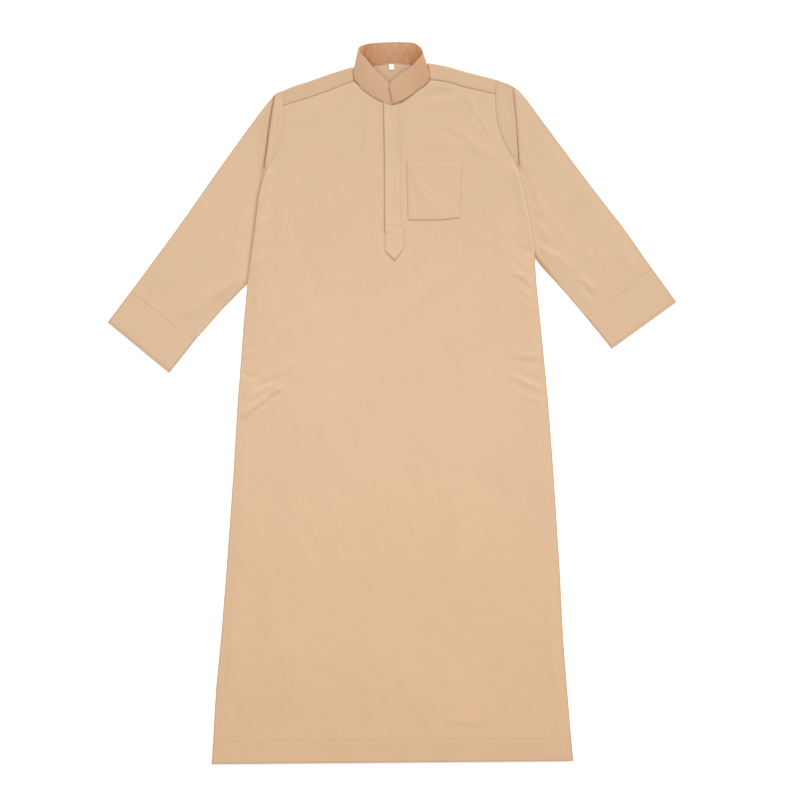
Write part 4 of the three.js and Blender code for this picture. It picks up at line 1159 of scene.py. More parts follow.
@dataclass
class Yoke(Piece):
    """The yoke: across the shoulder blades, over the shoulder folds and down to the front seams."""

    shape: FrontShape
    shoulder_columns: int = 30
    neck_columns: int = 36
    back_rows: int = 18
    strip_rows: int = 10
    dip: float = 0.5
    seam_gap: float = 0.4
    end_gap: float = 0.6
    right_shade: float = 0.24
    left_shade: float = 0.12
    name = "yoke_cloth"
    node = "yoke"
    flat = Cut(0.47, 0.22, 0.051)
    rests_on = ("front_panel", "back_panel")

    def mesh(self) -> bmesh.types.BMesh:
        """The two shoulders and the part behind the neck, joined, with painted shade that is deeper
        on the wearer's right.
        """
        whole = bmesh.new()
        for bm in (
            self._shoulder(SHOULDER_RIGHT, YOKE_SEAM_RIGHT, -1),
            self._behind_neck(),
            self._shoulder(SHOULDER_LEFT, YOKE_SEAM_LEFT, 1),
        ):
            part = bpy.data.meshes.new("part")
            bm.to_mesh(part)
            bm.free()
            whole.from_mesh(part)
            bpy.data.meshes.remove(part)
        bmesh.ops.remove_doubles(whole, verts=whole.verts, dist=1e-5)
        # Painted shade: darker on the wearer's right than on the left.
        deep = whole.verts.layers.float.new("deep")
        for vert in whole.verts:
            share = smooth((vert.co.x / MM + 90.0) / 180.0)
            vert[deep] = mix(self.right_shade, self.left_shade, share)
        return whole

    def sew(self, sewing: Sewing) -> None:
        """Adds a run beside each front seam."""
        for seam in (YOKE_SEAM_RIGHT, YOKE_SEAM_LEFT):
            raised = [(x, y + 2.6) for x, y in seam]
            sewing.along(raised, lambda x, y: self._top(x, y) - 0.1)

    @property
    def radius(self) -> float:
        """Half of the height that the cloth turns through at a shoulder fold."""
        return (self.shape.lay.body_top - 0.2) / 2

    def _top(self, x: float, y: float) -> float:
        """Outer height of the two front strips."""
        soft = 0.5 * swell(x, y, 45, 5.5) + 0.5 * bump((abs(x) - 150) / 50)
        return self.shape.lay.body_top + soft

    def _back_end(self, x: float, side: int) -> float:
        """X on the yoke's back seam for a spot on the shoulder fold."""
        armhole = BACK_ARMHOLE_LEFT if side > 0 else BACK_ARMHOLE_RIGHT
        fold = SHOULDER_LEFT if side > 0 else SHOULDER_RIGHT
        t = (x - fold[-1][0]) / (fold[0][0] - fold[-1][0])
        return mix(fold[-1][0], armhole[1][0], t)

    def _shoulder(
        self, fold: Sequence[Point], seam: Sequence[Point], side: int
    ) -> bmesh.types.BMesh:
        """One shoulder, from the back seam over the fold to the front seam.

        Args:
            fold: The shoulder fold, from the sleeve to the neck.
            seam: The front seam, likewise.
            side: -1 for the wearer's right, 1 for the left.

        Returns:
            The mesh.
        """
        fold_line, seam_line = Line(fold, rounded=True), Line(seam)
        radius = self.radius
        roll = edge_roll(radius, 8)

        def place(i: int, j: int) -> tuple[Vector, Point]:
            """Where a corner of the grid lies."""
            t = i / self.shoulder_columns
            high = fold_line.at(t)
            high.x -= side * self.end_gap * (1 - t)
            low = seam_line.at(t) + Vector((-side * self.end_gap * (1 - t), self.seam_gap))
            down = (low - high).normalized()
            width = (low - high).length
            if j <= self.back_rows:
                back = Vector((self._back_end(high.x, side), self.shape.lay.yoke_back_y))
                spot = back.lerp(high + down * radius, j / self.back_rows)
                return Vector((spot.x, spot.y, 0)), (spot.y, spot.x)
            k = j - self.back_rows - 1
            if k < len(roll):
                inset, share = roll[k]
                spot = high + down * inset
                z = share * self._top(high.x, high.y)
                return Vector((spot.x, spot.y, z)), (high.y + k * 0.8, high.x)
            share = (k - len(roll) + 1) / self.strip_rows
            inset = mix(radius, width, share**0.8)
            spot = high + down * inset
            bulge = 1.2 * t**6 * 4 * (inset / width) * (1 - inset / width)
            spot.x += side * bulge
            z = self._top(spot.x, spot.y) - self.dip * smooth((inset - width + 3.5) / 3.5)
            return Vector((spot.x, spot.y, z)), (high.y + 6 + inset, high.x)

        rows = self.back_rows + len(roll) + self.strip_rows
        return mapped_mesh(self.shoulder_columns, rows, place, Facing.DOWN)

    def _behind_neck(self) -> bmesh.types.BMesh:
        """The part between the two shoulders, below the back of the neck."""
        back_y = self.shape.lay.yoke_back_y
        neck = Line(NECK_BACK)
        right, left = SHOULDER_RIGHT[-1], SHOULDER_LEFT[-1]
        ends = {0: (right, YOKE_SEAM_RIGHT[-1]), self.neck_columns: (left, YOKE_SEAM_LEFT[-1])}

        def place(i: int, j: int) -> tuple[Vector, Point]:
            """Where a corner of the grid lies."""
            if i in ends:
                corner, seam = ends[i]
                high = Vector(corner)
                toward = Vector(seam) + Vector((0, self.seam_gap)) - high
                high += toward.normalized() * self.radius
                spot = Vector((corner[0], back_y)).lerp(high, j / self.back_rows)
                return Vector((spot.x, spot.y, 0)), (spot.y, spot.x)
            x = mix(right[0], left[0], i / self.neck_columns)
            y = mix(back_y, neck.y_at(x), j / self.back_rows)
            return Vector((x, y, 0)), (y, x)

        return mapped_mesh(self.neck_columns, self.back_rows, place, Facing.DOWN)


@dataclass(frozen=True)
class SleeveCut:
    """Where one sleeve lies: its two folded edges, its cuff seam and the cuff's outer corners."""

    name: str
    armhole: Armhole
    seam_top: Point
    back: tuple[Point, ...]
    upper: tuple[Point, ...]
    under: tuple[Point, ...]
    cuff_seam: tuple[Point, ...]
    cuff_upper: Point
    cuff_under: Point
    folds: tuple[Fold, ...]
    grain: float
    seam_rise: float
    seam_lap: float
    groove: float
    groove_lift: float
    # shade: painted shade in the crease's groove, where the sleeve's top layer lies out and where
    # the front does; under_shade: painted shade along the under edge near the armhole.
    shade: tuple[float, float]
    under_shade: float


SLEEVE_RIGHT = SleeveCut(
    name="right",
    seam_rise=0.8,
    seam_lap=1.2,
    groove=2.0,
    groove_lift=0.45,
    shade=(1.2, 0.85),
    under_shade=0.3,
    armhole=ARMHOLE_RIGHT,
    seam_top=(-231, 654.8),
    back=BACK_ARMHOLE_RIGHT,
    upper=(
        (-244.5, 649.5), (-252, 640.5), (-266.5, 623.5), (-285.5, 598.5),
        (-352.8, 506), (-447.3, 371.7), (-549, 233.2),
    ),  # fmt: skip
    under=(
        (-304.3, 250.4), (-318, 237), (-334, 220), (-355, 199), (-380, 170), (-411, 134.8),
    ),  # fmt: skip
    cuff_seam=((-549, 233.2), (-489, 187), (-428, 141.5), (-411, 134.8)),
    cuff_upper=(-597, 170),
    cuff_under=(-467.5, 63.5),
    folds=folds_of(
        (-285, 520, -330, 330, 1.1, 14, 0.2), (-262, 560, -300, 430, 0.9, 9),
        (-322, 262, -360, 232, 1.5, 7), (-352, 240, -420, 190, 1.2, 8),
        (-330, 300, -352, 262, 1.0, 8), (-366, 246, -440, 186, 0.9, 9),
        (-380, 196, -402, 164, -1.0, 6), (-400, 400, -470, 260, 1.2, 15),
        (-470, 300, -515, 215, 0.9, 10), (-310, 470, -380, 300, 0.9, 10),
        (-296, 400, -350, 225, 0.9, 9),
    ),  # fmt: skip
    grain=math.radians(-126.5),
)
SLEEVE_LEFT = SleeveCut(
    name="left",
    seam_rise=-0.1,
    seam_lap=0.0,
    groove=1.2,
    groove_lift=0.9,
    shade=(0.6, 0.1),
    under_shade=1.1,
    armhole=ARMHOLE_LEFT,
    seam_top=(219.5, 678.3),
    back=BACK_ARMHOLE_LEFT,
    upper=(
        (251, 666.5), (264.5, 657.5), (280, 640), (329.7, 573.3), (430.5, 439), (483, 371.7),
        (548, 280),
    ),  # fmt: skip
    under=((300.8, 305.9), (313, 289), (344.4, 254), (373.8, 220.5), (407, 181)),
    cuff_seam=(
        (548, 280), (534, 273.5), (506, 250.5), (487, 232), (461, 216), (429, 193.5), (416, 185),
        (407, 181),
    ),  # fmt: skip
    cuff_upper=(597, 212.3),
    cuff_under=(461.2, 114.3),
    folds=folds_of(
        (275, 560, 296, 470, 0.9, 11), (300, 440, 318, 405, 1.2, 7),
        (288, 462, 308, 452, 0.9, 6), (296, 410, 322, 392, 1.0, 6), (306, 376, 326, 352, 1.1, 6),
        (302, 350, 340, 318, -0.9, 7), (318, 322, 344, 306, 1.2, 6, 0.2),
        (345, 312, 372, 284, 0.8, 6), (396, 262, 424, 238, 1.2, 6),
        (404, 244, 418, 222, -1.0, 5), (330, 470, 362, 420, 0.8, 9),
        (352, 424, 366, 380, 0.7, 8), (340, 384, 384, 320, 0.9, 9), (400, 330, 440, 270, 0.9, 9),
        (438, 316, 470, 250, 0.7, 9), (470, 330, 520, 262, 0.6, 9),
        (392, 470, 420, 420, 0.6, 12),
    ),  # fmt: skip
    grain=math.radians(-53.5),
)


@dataclass
class Sleeve(Piece):
    """A sleeve laid flat: one tube from the armhole seam to the cuff seam.

    At the crease its cloth folds back under itself before it runs out to the hand. Each row of that
    fold, in pleat, is the distance out from the crease and the height. Each row of soft is a swell.
    """

    cut: SleeveCut
    lay: Lay
    upper_cells: int = 64
    lower_cells: int = 12
    along: int = 74
    loft: float = 2.2
    puff: float = 3.3
    puff_reach: float = 30.0
    low_puff: float = 0.12
    tucked_reach: float = 3.0
    first: float = 0.008
    end_dip: float = 0.05
    edge_shade: float = 0.7
    pleat: tuple[Point, ...] = (
        (-14.0, 5.3), (-6.0, 6.3), (-2.4, 7.0), (-0.8, 7.2), (0.0, 6.6), (-0.3, 5.7),
        (-2.4, 5.0), (-6.0, 4.5), (-8.6, 4.1), (-9.3, 3.6), (-8.4, 3.1), (-3.0, 2.6), (0.8, 2.6),
        (2.2, 3.6), (3.1, 5.6),
    )  # fmt: skip
    soft = ((0.7, 1, 1, 120, 9.3), (0.35, 1, 1, 55, 4.1), (0.14, 1, 1, 26, 2.7))
    flat = Cut(0.39, 0.54, 0.139)
    rests_on = ("back_panel",)
    facing = Facing.OUT
    thickness = 0.6
    rim = 0.08

    def __post_init__(self) -> None:
        """Reads the names, the edges and the way round the tube."""
        cut, hole = self.cut, self.cut.armhole
        self.name, self.node = f"sleeve_{cut.name}_cloth", f"sleeve_{cut.name}"
        self.edges = (
            Line(cut.upper, rounded=True),
            Line(cut.under, rounded=True),
            hole.crease,
            Line(cut.cuff_seam, rounded=True),
        )
        self.back = Line([cut.seam_top, *cut.back[1:-1], cut.under[0]])
        self.fold_rows = len(self.pleat) + 2
        self.turn = Matrix.Rotation(-cut.grain, 2)
        roll = edge_roll(self.lay.tuck_top / 2)
        # The way round the tube: share across, inset from the nearer edge, and rise.
        self.rings = [
            *[(0.0, inset, rise) for inset, rise in roll],
            *[(k / self.upper_cells, 0.0, 1.0) for k in range(1, self.upper_cells)],
            *[(1.0, inset, rise) for inset, rise in roll[::-1]],
            *[(1 - k / self.lower_cells, 0.0, 0.0) for k in range(1, self.lower_cells)],
            (0.0, roll[0][0], 0.0),
        ]

    def grid(self) -> tuple[int, int]:
        """Cells round the tube and along it."""
        return len(self.rings), self.fold_rows - 1 + self.along

    def patch(self, along: float, across: float) -> Vector:
        """A flat point of the sleeve, between its four edges.

        Args:
            along: Share of the way from the crease to the cuff seam.
            across: Share of the way from the upper edge to the lower one.

        Returns:
            The point in millimetres.
        """
        upper, under = self.edges[0].at(along), self.edges[1].at(along)
        crease, cuff = self.edges[2].at(across), self.edges[3].at(across)
        corners = (
            self.edges[0].at(0) * ((1 - along) * (1 - across))
            + self.edges[0].at(1) * (along * (1 - across))
            + self.edges[1].at(0) * ((1 - along) * across)
            + self.edges[1].at(1) * (along * across)
        )
        return upper * (1 - across) + under * across + crease * (1 - along) + cuff * along - corners

    def top(self, x: float, y: float, along: float, across: float) -> float:
        """Outer height of the upper layer beyond the crease.

        Args:
            x: Across the garment.
            y: Along it.
            along: Share of the way from the crease to the cuff seam.
            across: Share of the way from the upper edge to the lower one.

        Returns:
            Millimetres above the table.
        """
        edge = min(across, 1 - across)
        off = along * self.edges[0].length
        raised = self.puff * hill(off / self.puff_reach) * smooth(edge / 0.04)
        raised *= mix(self.low_puff, 1.0, self.cut.armhole.value(across, Armhole.LIFT))
        falling = smooth(along / 0.25) * (1 - 0.35 * smooth((along - 0.75) / 0.25))
        loft = raised + self.loft * smooth(edge / 0.16) * falling
        held = smooth(along / 0.1) * smooth(edge / 0.05) * smooth((1 - along) / 0.05)
        soft = swelling(self.soft, x, y) + folded(self.cut.folds, x, y)
        dip = self.end_dip * smooth((along - 0.985) / 0.015)
        return self.lay.tuck_top + loft + soft * held - dip

    def _spread(self, share: float, k: int) -> tuple[Vector, float]:
        """A spot of the upper layer between the seam and the sleeve's free run.

        Args:
            share: Share of the crease's length.
            k: Row of the fold, from the seam.

        Returns:
            The flat spot and its height.
        """
        cut, lay, hole = self.cut, self.lay, self.cut.armhole
        fold = hole.crease.at(share)
        seam = Vector((hole.value(share, Armhole.SEAM_X), hole.value(share, Armhole.SEAM_Y)))
        inward = seam - fold
        reach = inward.length
        lift = smooth(hole.value(share, Armhole.LIFT))
        rows = (
            (-reach - cut.seam_lap, lay.body_top + cut.seam_rise),
            (-reach * 0.6, lay.body_top + 0.5 + cut.seam_rise / 2),
            *self.pleat,
        )
        out, height = rows[k]
        if 1 < k < 6:
            out = max(out, -reach * (0.7 - 0.15 * k))
        if out > 0:
            out *= cut.groove
            height = mix(lay.tuck_top, height, cut.groove_lift)
        run = mix(mix(-reach, self.tucked_reach, k / (self.fold_rows - 1)), out, lift)
        if run > 0:
            spot = fold + (self.patch(0.12, share) - fold).normalized() * run
        else:
            spot = fold - inward.normalized() * run
        return spot, mix(lay.tuck_top, height, lift)

    def place(self, i: int, j: int) -> tuple[Vector, Point]:
        """Where a corner of the grid lies."""
        share, inset, rise = self.rings[i % len(self.rings)]
        if j < self.fold_rows:
            spot, height = self._spread(share, j)
            if rise < 1:
                last = self.fold_rows - 1
                end = self._spread(share, last)[0]
                spot = self.back.at(share).lerp(end, j / last).lerp(spot, rise)
            low_along, high_along = 0.0, 0.02
            run = 10.0 * j / self.fold_rows
        else:
            along = self.first + (1 - self.first) * (j - self.fold_rows + 1) / self.along
            spot = self.patch(along, share)
            height = self.top(spot.x, spot.y, along, share)
            low_along, high_along = along - 0.02, along
            run = 0.0
        if inset:
            ahead = self.patch(high_along, share) - self.patch(low_along, share)
            sideways = Vector((-ahead.y, ahead.x)).normalized()
            if sideways.dot(self.patch(0.5, 1 - share) - spot) < 0:
                sideways.negate()
            spot = spot + sideways * inset
        on_cut = self.turn @ Vector((spot.x, spot.y))
        return Vector((spot.x, spot.y, height * rise)), (on_cut.y + 0.2 * i, on_cut.x + run)

    def tone(self, spot: Vector, i: int, j: int) -> float:
        """Painted shade darkens the fold at the crease, the two long edges and the under edge near
        the armhole.
        """
        cut = self.cut
        share, _, rise = self.rings[i % len(self.rings)]
        off = cut.armhole.side * (spot.x - cut.armhole.crease.x_at(spot.y))
        shade = mix(cut.shade[1], cut.shade[0], cut.armhole.value(share, Armhole.LIFT))
        beside = self.edge_shade if share in (0.0, 1.0) else 0.0
        if share == 1.0 or share > 1 - 2.5 / self.upper_cells and rise == 1:
            beside += cut.under_shade * (1 - smooth((j - self.fold_rows) / (0.6 * self.along)))
        return shade * bump((off - 2.5) / 4.0) * rise + beside

    def sew(self, sewing: Sewing) -> None:
        """Adds the run beside the armhole seam, where the sleeve lies on top."""
        side = self.cut.armhole.side
        upper = [(r[2] + side * 2.2, r[3]) for r in self.cut.armhole.rows if r[4]]
        sewing.along(upper[1:], lambda x, y: self.lay.body_top + 0.35, rounded=True)


@dataclass
class Cuff(Piece):
    """A straight band of two layers, sewn to the sleeve's end as a flat tube."""

    cut: SleeveCut
    top_height: float = 4.1
    cells: int = 34
    along: int = 16
    stitches: int = 56
    start_gap: float = 0.0022
    rows_along: tuple[float, float] = (0.09, 0.93)
    edge_shade: float = 0.6
    flat = Cut(0.36, 0.085)
    rests_on = ("back_panel",)
    facing = Facing.OUT
    thickness = 1.0
    rim = 0.1

    def __post_init__(self) -> None:
        """Reads the names, the two ends and the way round and along the tube."""
        cut = self.cut
        self.name, self.node = f"cuff_{cut.name}_cloth", f"cuff_{cut.name}"
        self.start = Line(cut.cuff_seam, rounded=True)
        self.end = Line([cut.cuff_upper, cut.cuff_under])
        self.turn = Matrix.Rotation(-cut.grain, 2)
        roll = edge_roll(self.top_height / 2)
        inner = [k / self.cells for k in range(1, self.cells)]
        self.rings = [
            *[(0.0, inset, rise) for inset, rise in roll],
            *[(share, 0.0, 1.0) for share in inner],
            *[(1.0, -inset, rise) for inset, rise in roll[::-1]],
            *[(share, 0.0, 0.0) for share in inner[::-4]],
        ]
        middle = [0.06 + 0.88 * k / self.along for k in range(1, self.along)]
        self.shares = [0.0, 0.02, 0.06, *middle, 0.94, 0.98, 1.0]

    def grid(self) -> tuple[int, int]:
        """Cells round the tube and along it."""
        return len(self.rings), len(self.shares) - 1

    def _spot(self, along: float, across: float) -> Vector:
        """A flat point of the cuff."""
        return self.start.at(across).lerp(self.end.at(across), mix(self.start_gap, 1.0, along))

    def _top(self, spot: Vector, along: float, across: float) -> float:
        """Outer height of the upper layer."""
        edge = smooth(min(across, 1 - across) / 0.2)
        soft = 0.35 * swell(spot.x, spot.y, 60, 6.6) * edge
        rim = 0.1 * (1 - smooth(along / 0.035)) + 1.2 * (1 - smooth((1 - along) / 0.06))
        sewn = 0.1 * sum(bump((along - row) / 0.03) for row in self.rows_along)
        return self.top_height + 0.7 * edge + soft - rim - sewn

    def place(self, i: int, j: int) -> tuple[Vector, Point]:
        """Where a corner of the grid lies."""
        share, inset, rise = self.rings[i % len(self.rings)]
        along = self.shares[j]
        spot = self._spot(along, share)
        if inset:
            spot = spot + (self._spot(along, 1) - self._spot(along, 0)).normalized() * inset
        height = self._top(spot, along, share) * rise
        on_cut = self.turn @ spot
        return Vector((spot.x, spot.y, height)), (on_cut.x, on_cut.y + 0.2 * i)

    def tone(self, spot: Vector, i: int, j: int) -> float:
        """Painted shade darkens the folded edges and the cuff's own end."""
        on_edge = self.rings[i % len(self.rings)][0] in (0.0, 1.0)
        return self.edge_shade if on_edge or j == len(self.shares) - 1 else 0.0

    def sew(self, sewing: Sewing) -> None:
        """Adds a row near each end."""
        for along in self.rows_along:
            path = []
            for share in (mix(0.015, 0.985, k / self.stitches) for k in range(self.stitches + 1)):
                spot = self._spot(along, share)
                path.append(Vector((spot.x, spot.y, self._top(spot, along, share) + 0.02)))
            sewing.paths.append(path)


@dataclass
class CollarBand(Piece):
    """A stiffened band that stands round the neck and laps over at the front.

    Each station has the seam's X, Y, Z and the top edge's X, Y, Z, from the wearer's right end,
    which lies underneath, to the left end on top.
    """

    thickness: float = 1.9
    per_station: int = 6
    cells: int = 12
    height: float = 46.0
    bulge: float = 0.9
    ripple: float = 0.7
    seam_reach: float = 1.2
    front_y: float = 674.0
    stitches: int = 150
    end_room: float = 0.008
    sewn_rows: tuple[float, float] = (0.1, 0.93)
    stations: tuple[tuple[float, float, float, float, float, float], ...] = (
        (16, 631.5, 4.6, 12, 666, 12.8), (1, 627.5, 4.6, 0, 663.5, 13.2),
        (-12, 629.5, 4.7, -4, 667, 14.2), (-28, 637.5, 4.8, -11, 674, 15.4),
        (-46, 648.5, 4.9, -24, 687.5, 16.6), (-62, 660, 4.9, -37, 699.5, 16.4),
        (-71, 671, 4.8, -48, 713, 15.4), (-78.2, 679, 4.6, -57, 724.5, 13.6),
        (-80.8, 688, 3.8, -66, 734, 10.6), (-80.2, 697, 2.8, -69.5, 742, 6.6),
        (-76, 705.2, 1.2, -67.5, 748, 4.2), (-60, 706.6, 1.0, -54, 753, 3.6),
        (-44, 707.5, 1.0, -42, 755, 3.6), (-22, 710.5, 1.0, -22, 756.6, 3.6),
        (2, 713, 1.0, 3, 757.5, 3.6), (26, 712, 1.0, 27, 757.2, 3.6),
        (46, 709, 1.0, 44, 755.8, 3.6), (60, 707.5, 1.0, 53, 752, 3.8),
        (70.5, 707.5, 1.2, 60.5, 745.5, 4.4), (76.5, 699, 2.8, 63.5, 738, 7.2),
        (79, 687, 3.8, 62.5, 730.5, 11.4), (75.5, 676, 4.6, 56, 721.5, 14.8),
        (66.5, 666.8, 4.9, 46, 710, 17), (54, 658.5, 5.2, 35, 699.5, 18.4),
        (41, 648, 6, 24, 693, 19.2), (29, 640.5, 7.2, 13.5, 685, 19.5),
        (17, 634, 8.2, 4, 677, 19.2), (1.5, 630, 8.6, -5.5, 666, 18.6),
    )  # fmt: skip
    name = "collar"
    node = "collar_band"
    flat = Cut(0.46, 0.047, 0.0205)
    rests_on = ("yoke", "front_panel")
    slot = Slot.COLLAR
    wall_offset = 0.0
    rim = 0.65
    rim_segments = 3
    rim_angle = 60.0

    def __post_init__(self) -> None:
        """Measures the way round the middle of the band."""
        self.rounds = (len(self.stations) - 1) * self.per_station
        middles = [self.middle(k / self.rounds, 0.5) for k in range(self.rounds + 1)]
        self.run = [0.0]
        for a, b in zip(middles, middles[1:]):
            self.run.append(self.run[-1] + (b - a).length)

    def middle(self, share: float, up: float) -> Vector:
        """A point in the middle of the band's wall.

        Args:
            share: Way round the neck, from 0 to 1.
            up: Way from the seam to the top edge, from 0 to 1.

        Returns:
            The point in millimetres.
        """
        last = len(self.stations) - 1
        at = share * last
        k = min(int(at), last - 1)
        rows = [self.stations[min(max(k + d, 0), last)] for d in (-1, 0, 1, 2)]
        spot = [curve(a, b, (b - z) / 2, (c - a) / 2, at - k) for z, a, b, c in zip(*rows)]
        low, high = Vector(spot[:3]), Vector(spot[3:])
        low -= (high - low).normalized() * self.seam_reach * smooth((self.front_y - low.y) / 8.0)
        point = low.lerp(high, up)
        standing = clamp((high.z - 2.0) / 4.0)
        point.z += self.bulge * standing * 4 * up * (1 - up)
        soft = 0.5 + swell(point.x * 2.2, point.y * 0.4, 24, 2.4)
        point.z += self.ripple * soft * (1 - standing * 0.6) * up
        point.z = max(point.z, 1.0)
        return point

    def grid(self) -> tuple[int, int]:
        """Cells round the neck and up the band."""
        return self.rounds, self.cells

    def place(self, i: int, j: int) -> tuple[Vector, Point]:
        """Where a corner of the grid lies."""
        up = j / self.cells
        return self.middle(i / self.rounds, up), (self.run[i], self.height * j / self.cells)

    def tone(self, spot: Vector, i: int, j: int) -> float:
        """Painted shade darkens the inside at the back, most of all at its corners, near the seam
        and in streaks; the left half gets painted shade that fades to a faint painted highlight at
        its end, and the right end a painted highlight.
        """
        share, up = self.run[i] / self.run[-1], j / self.cells
        inside = smooth((share - 0.33) / 0.05) * smooth((0.72 - share) / 0.05)
        streak = swell(self.run[i], up * 9, 3.2, 8.8)
        corner = ((share - 0.525) / 0.195) ** 2
        shade = 0.62 + 1.2 * corner + 0.55 * (1 - up) + 0.7 * streak
        left = mix(0.55, -0.05, smooth((share - 0.74) / 0.2))
        right = mix(-0.35, 0.0, smooth((share - 0.1) / 0.2))
        return mix(left if share > 0.5 else right, shade, inside)

    def sew(self, sewing: Sewing) -> None:
        """Adds a row near the seam and one near the top edge, on both faces."""
        for up in self.sewn_rows:
            for face in (-1, 1):
                sewing.paths.append(self._row(up, face))

    def _row(self, up: float, face: int) -> list[Vector]:
        """Spots of one row of stitches.

        Args:
            up: Way from the seam to the top edge.
            face: 1 for the outer face, -1 for the inner one.

        Returns:
            The spots in millimetres.
        """
        spots: list[Vector] = []
        for k in range(self.stitches + 1):
            share = mix(self.end_room, 1 - self.end_room, k / self.stitches)
            ahead, behind = min(1, share + 0.004), max(0, share - 0.004)
            round_it = self.middle(ahead, up) - self.middle(behind, up)
            up_it = self.middle(share, up + 0.04) - self.middle(share, up - 0.04)
            out = round_it.cross(up_it).normalized()
            if out.z < 0 and not 0.3 <= share <= 0.7:
                out.negate()
            spots.append(self.middle(share, up) + out * (self.thickness / 2 * face))
        return spots


@dataclass
class Placket(Piece):
    """The placket over the neck's slit, which ends in a pointed tab below two crossing rows."""

    shape: FrontShape
    thickness: float = 0.95
    rows: int = 96
    left: tuple[Point, ...] = ((-14.7, 321), (-14.5, 460), (-15.2, 520), (-16.6, 590), (-17.6, 634))
    right: tuple[Point, ...] = (
        (24.4, 321), (23.4, 366), (22.2, 377), (19.0, 383), (18.0, 470), (16.0, 634),
    )  # fmt: skip
    tab: tuple[Point, ...] = ((-14.7, 317.5), (6.5, 297), (24.4, 321))
    bars: tuple[float, float] = (368.5, 356.5)
    lip: float = 2.7
    raised: float = 1.55
    top_y: float = 626.0
    point_share: float = 0.55
    shares: tuple[float, ...] = (
        0, 0.03, 0.06, 0.1, 0.16, 0.24, 0.34, 0.45, 0.55, 0.65, 0.74,
        0.82, 0.87, 0.9, 0.92, 0.94, 0.96, 0.98, 1,
    )  # fmt: skip
    name = "placket"
    node = "placket_over"
    flat = Cut(0.04, 0.335, 0.0119)
    rests_on = ("front_panel",)
    rim = 0.3

    def __post_init__(self) -> None:
        """Reads the edges and spaces the rows, which lie close at the bars."""
        self.left_edge, self.right_edge = Line(self.left), Line(self.right)
        self.foot, self.neck = Line(self.tab), Line(NECK_FRONT)
        self.up = paced(self.rows, lambda t: 1 + 4 * bump((t - 0.155) / 0.035))

    def height(self, x: float, y: float) -> float:
        """Outer height of the placket.

        Args:
            x: Across the garment.
            y: Along it.

        Returns:
            Millimetres above the table.
        """
        from_left = x - self.left_edge.x_at(y)
        from_right = self.right_edge.x_at(y) - x
        free = smooth((y - 352) / 16)
        lift = self.lip * free * hill(from_left / 6.0) * (0.75 + 0.4 * swell(0, y, 60, 2.2))
        sewn = 0.25 * hill(from_right / 1.6) + 0.45 * hill((from_right - 2.4) / 1.2)
        sewn += (1 - free) * (0.3 * hill(from_left / 2.0) + 0.5 * hill(from_right / 2.0))
        bars = sum(0.7 * bump((y - bar) / 1.8) for bar in self.bars) - 0.5 * bump((y - 377) / 5)
        tip = 0.45 * (1 - smooth((y - self.foot.y_at(x)) / 3.0))
        return self.shape.height(x, y) + self.raised + lift - sewn - bars - tip

    def grid(self) -> tuple[int, int]:
        """Cells across and along."""
        return len(self.shares) - 1, self.rows

    def place(self, i: int, j: int) -> tuple[Vector, Point]:
        """Where a corner of the grid lies."""
        across, t = self.shares[i], self.up[j]
        (start_x, _), (point_x, _), (end_x, _) = self.tab
        foot_x = point_x if across == self.point_share else mix(start_x, end_x, across)
        foot_y = self.foot.y_at(foot_x)
        rough_y = mix(foot_y, self.top_y, t)
        straight = mix(self.left_edge.x_at(rough_y), self.right_edge.x_at(rough_y), across)
        x = mix(foot_x, straight, smooth(t / 0.12))
        y = mix(foot_y, self.neck.y_at(x) - 0.5, t)
        return Vector((x, y, self.height(x, y))), (x, y)

    def tone(self, spot: Vector, i: int, j: int) -> float:
        """Painted shade darkens the sewn edges, most of all round the tab."""
        if j >= 2 and i == len(self.shares) - 1:
            return mix(0.4, 1.6, smooth((370.0 - spot.y) / 6.0))
        return 0.6 if j < 2 or i == 0 else 0.0

    def sew(self, sewing: Sewing) -> None:
        """Adds the sewn side, the run round the tab and the two bars."""
        side = [(x - 2.0, y) for x, y in self.right]
        sewing.along(side, lambda x, y: self.height(x, min(y, 622)))
        sewing.along([(-12.8, 320.5), (-12.6, 368)], self.height)
        sewing.along([(-12.8, 319.5), (6.5, 300), (22.4, 321.5)], self.height)
        for bar in self.bars:
            sewing.along([(-13.5, bar), (self.right_edge.x_at(bar) - 2, bar)], self.height)


@dataclass
class UnderPlacket(Piece):
    """The strip behind the slit, which the placket closes on to."""

    lay: Lay
    columns: int = 6
    rows: int = 40
    left: float = -11.0
    right: float = 20.0
    top: float = 621.0
    bottom: float = 316.0
    name = "placket_strip"
    node = "placket_under"
    flat = Cut(0.031, 0.305)
    rests_on = ("back_panel",)
    thickness = 0.9

    def place(self, i: int, j: int) -> tuple[Vector, Point]:
        """Where a corner of the grid lies."""
        x = mix(self.left, self.right, i / self.columns)
        y = mix(self.bottom, self.top, j / self.rows)
        return Vector((x, y, self.lay.tuck_top)), (x, y)


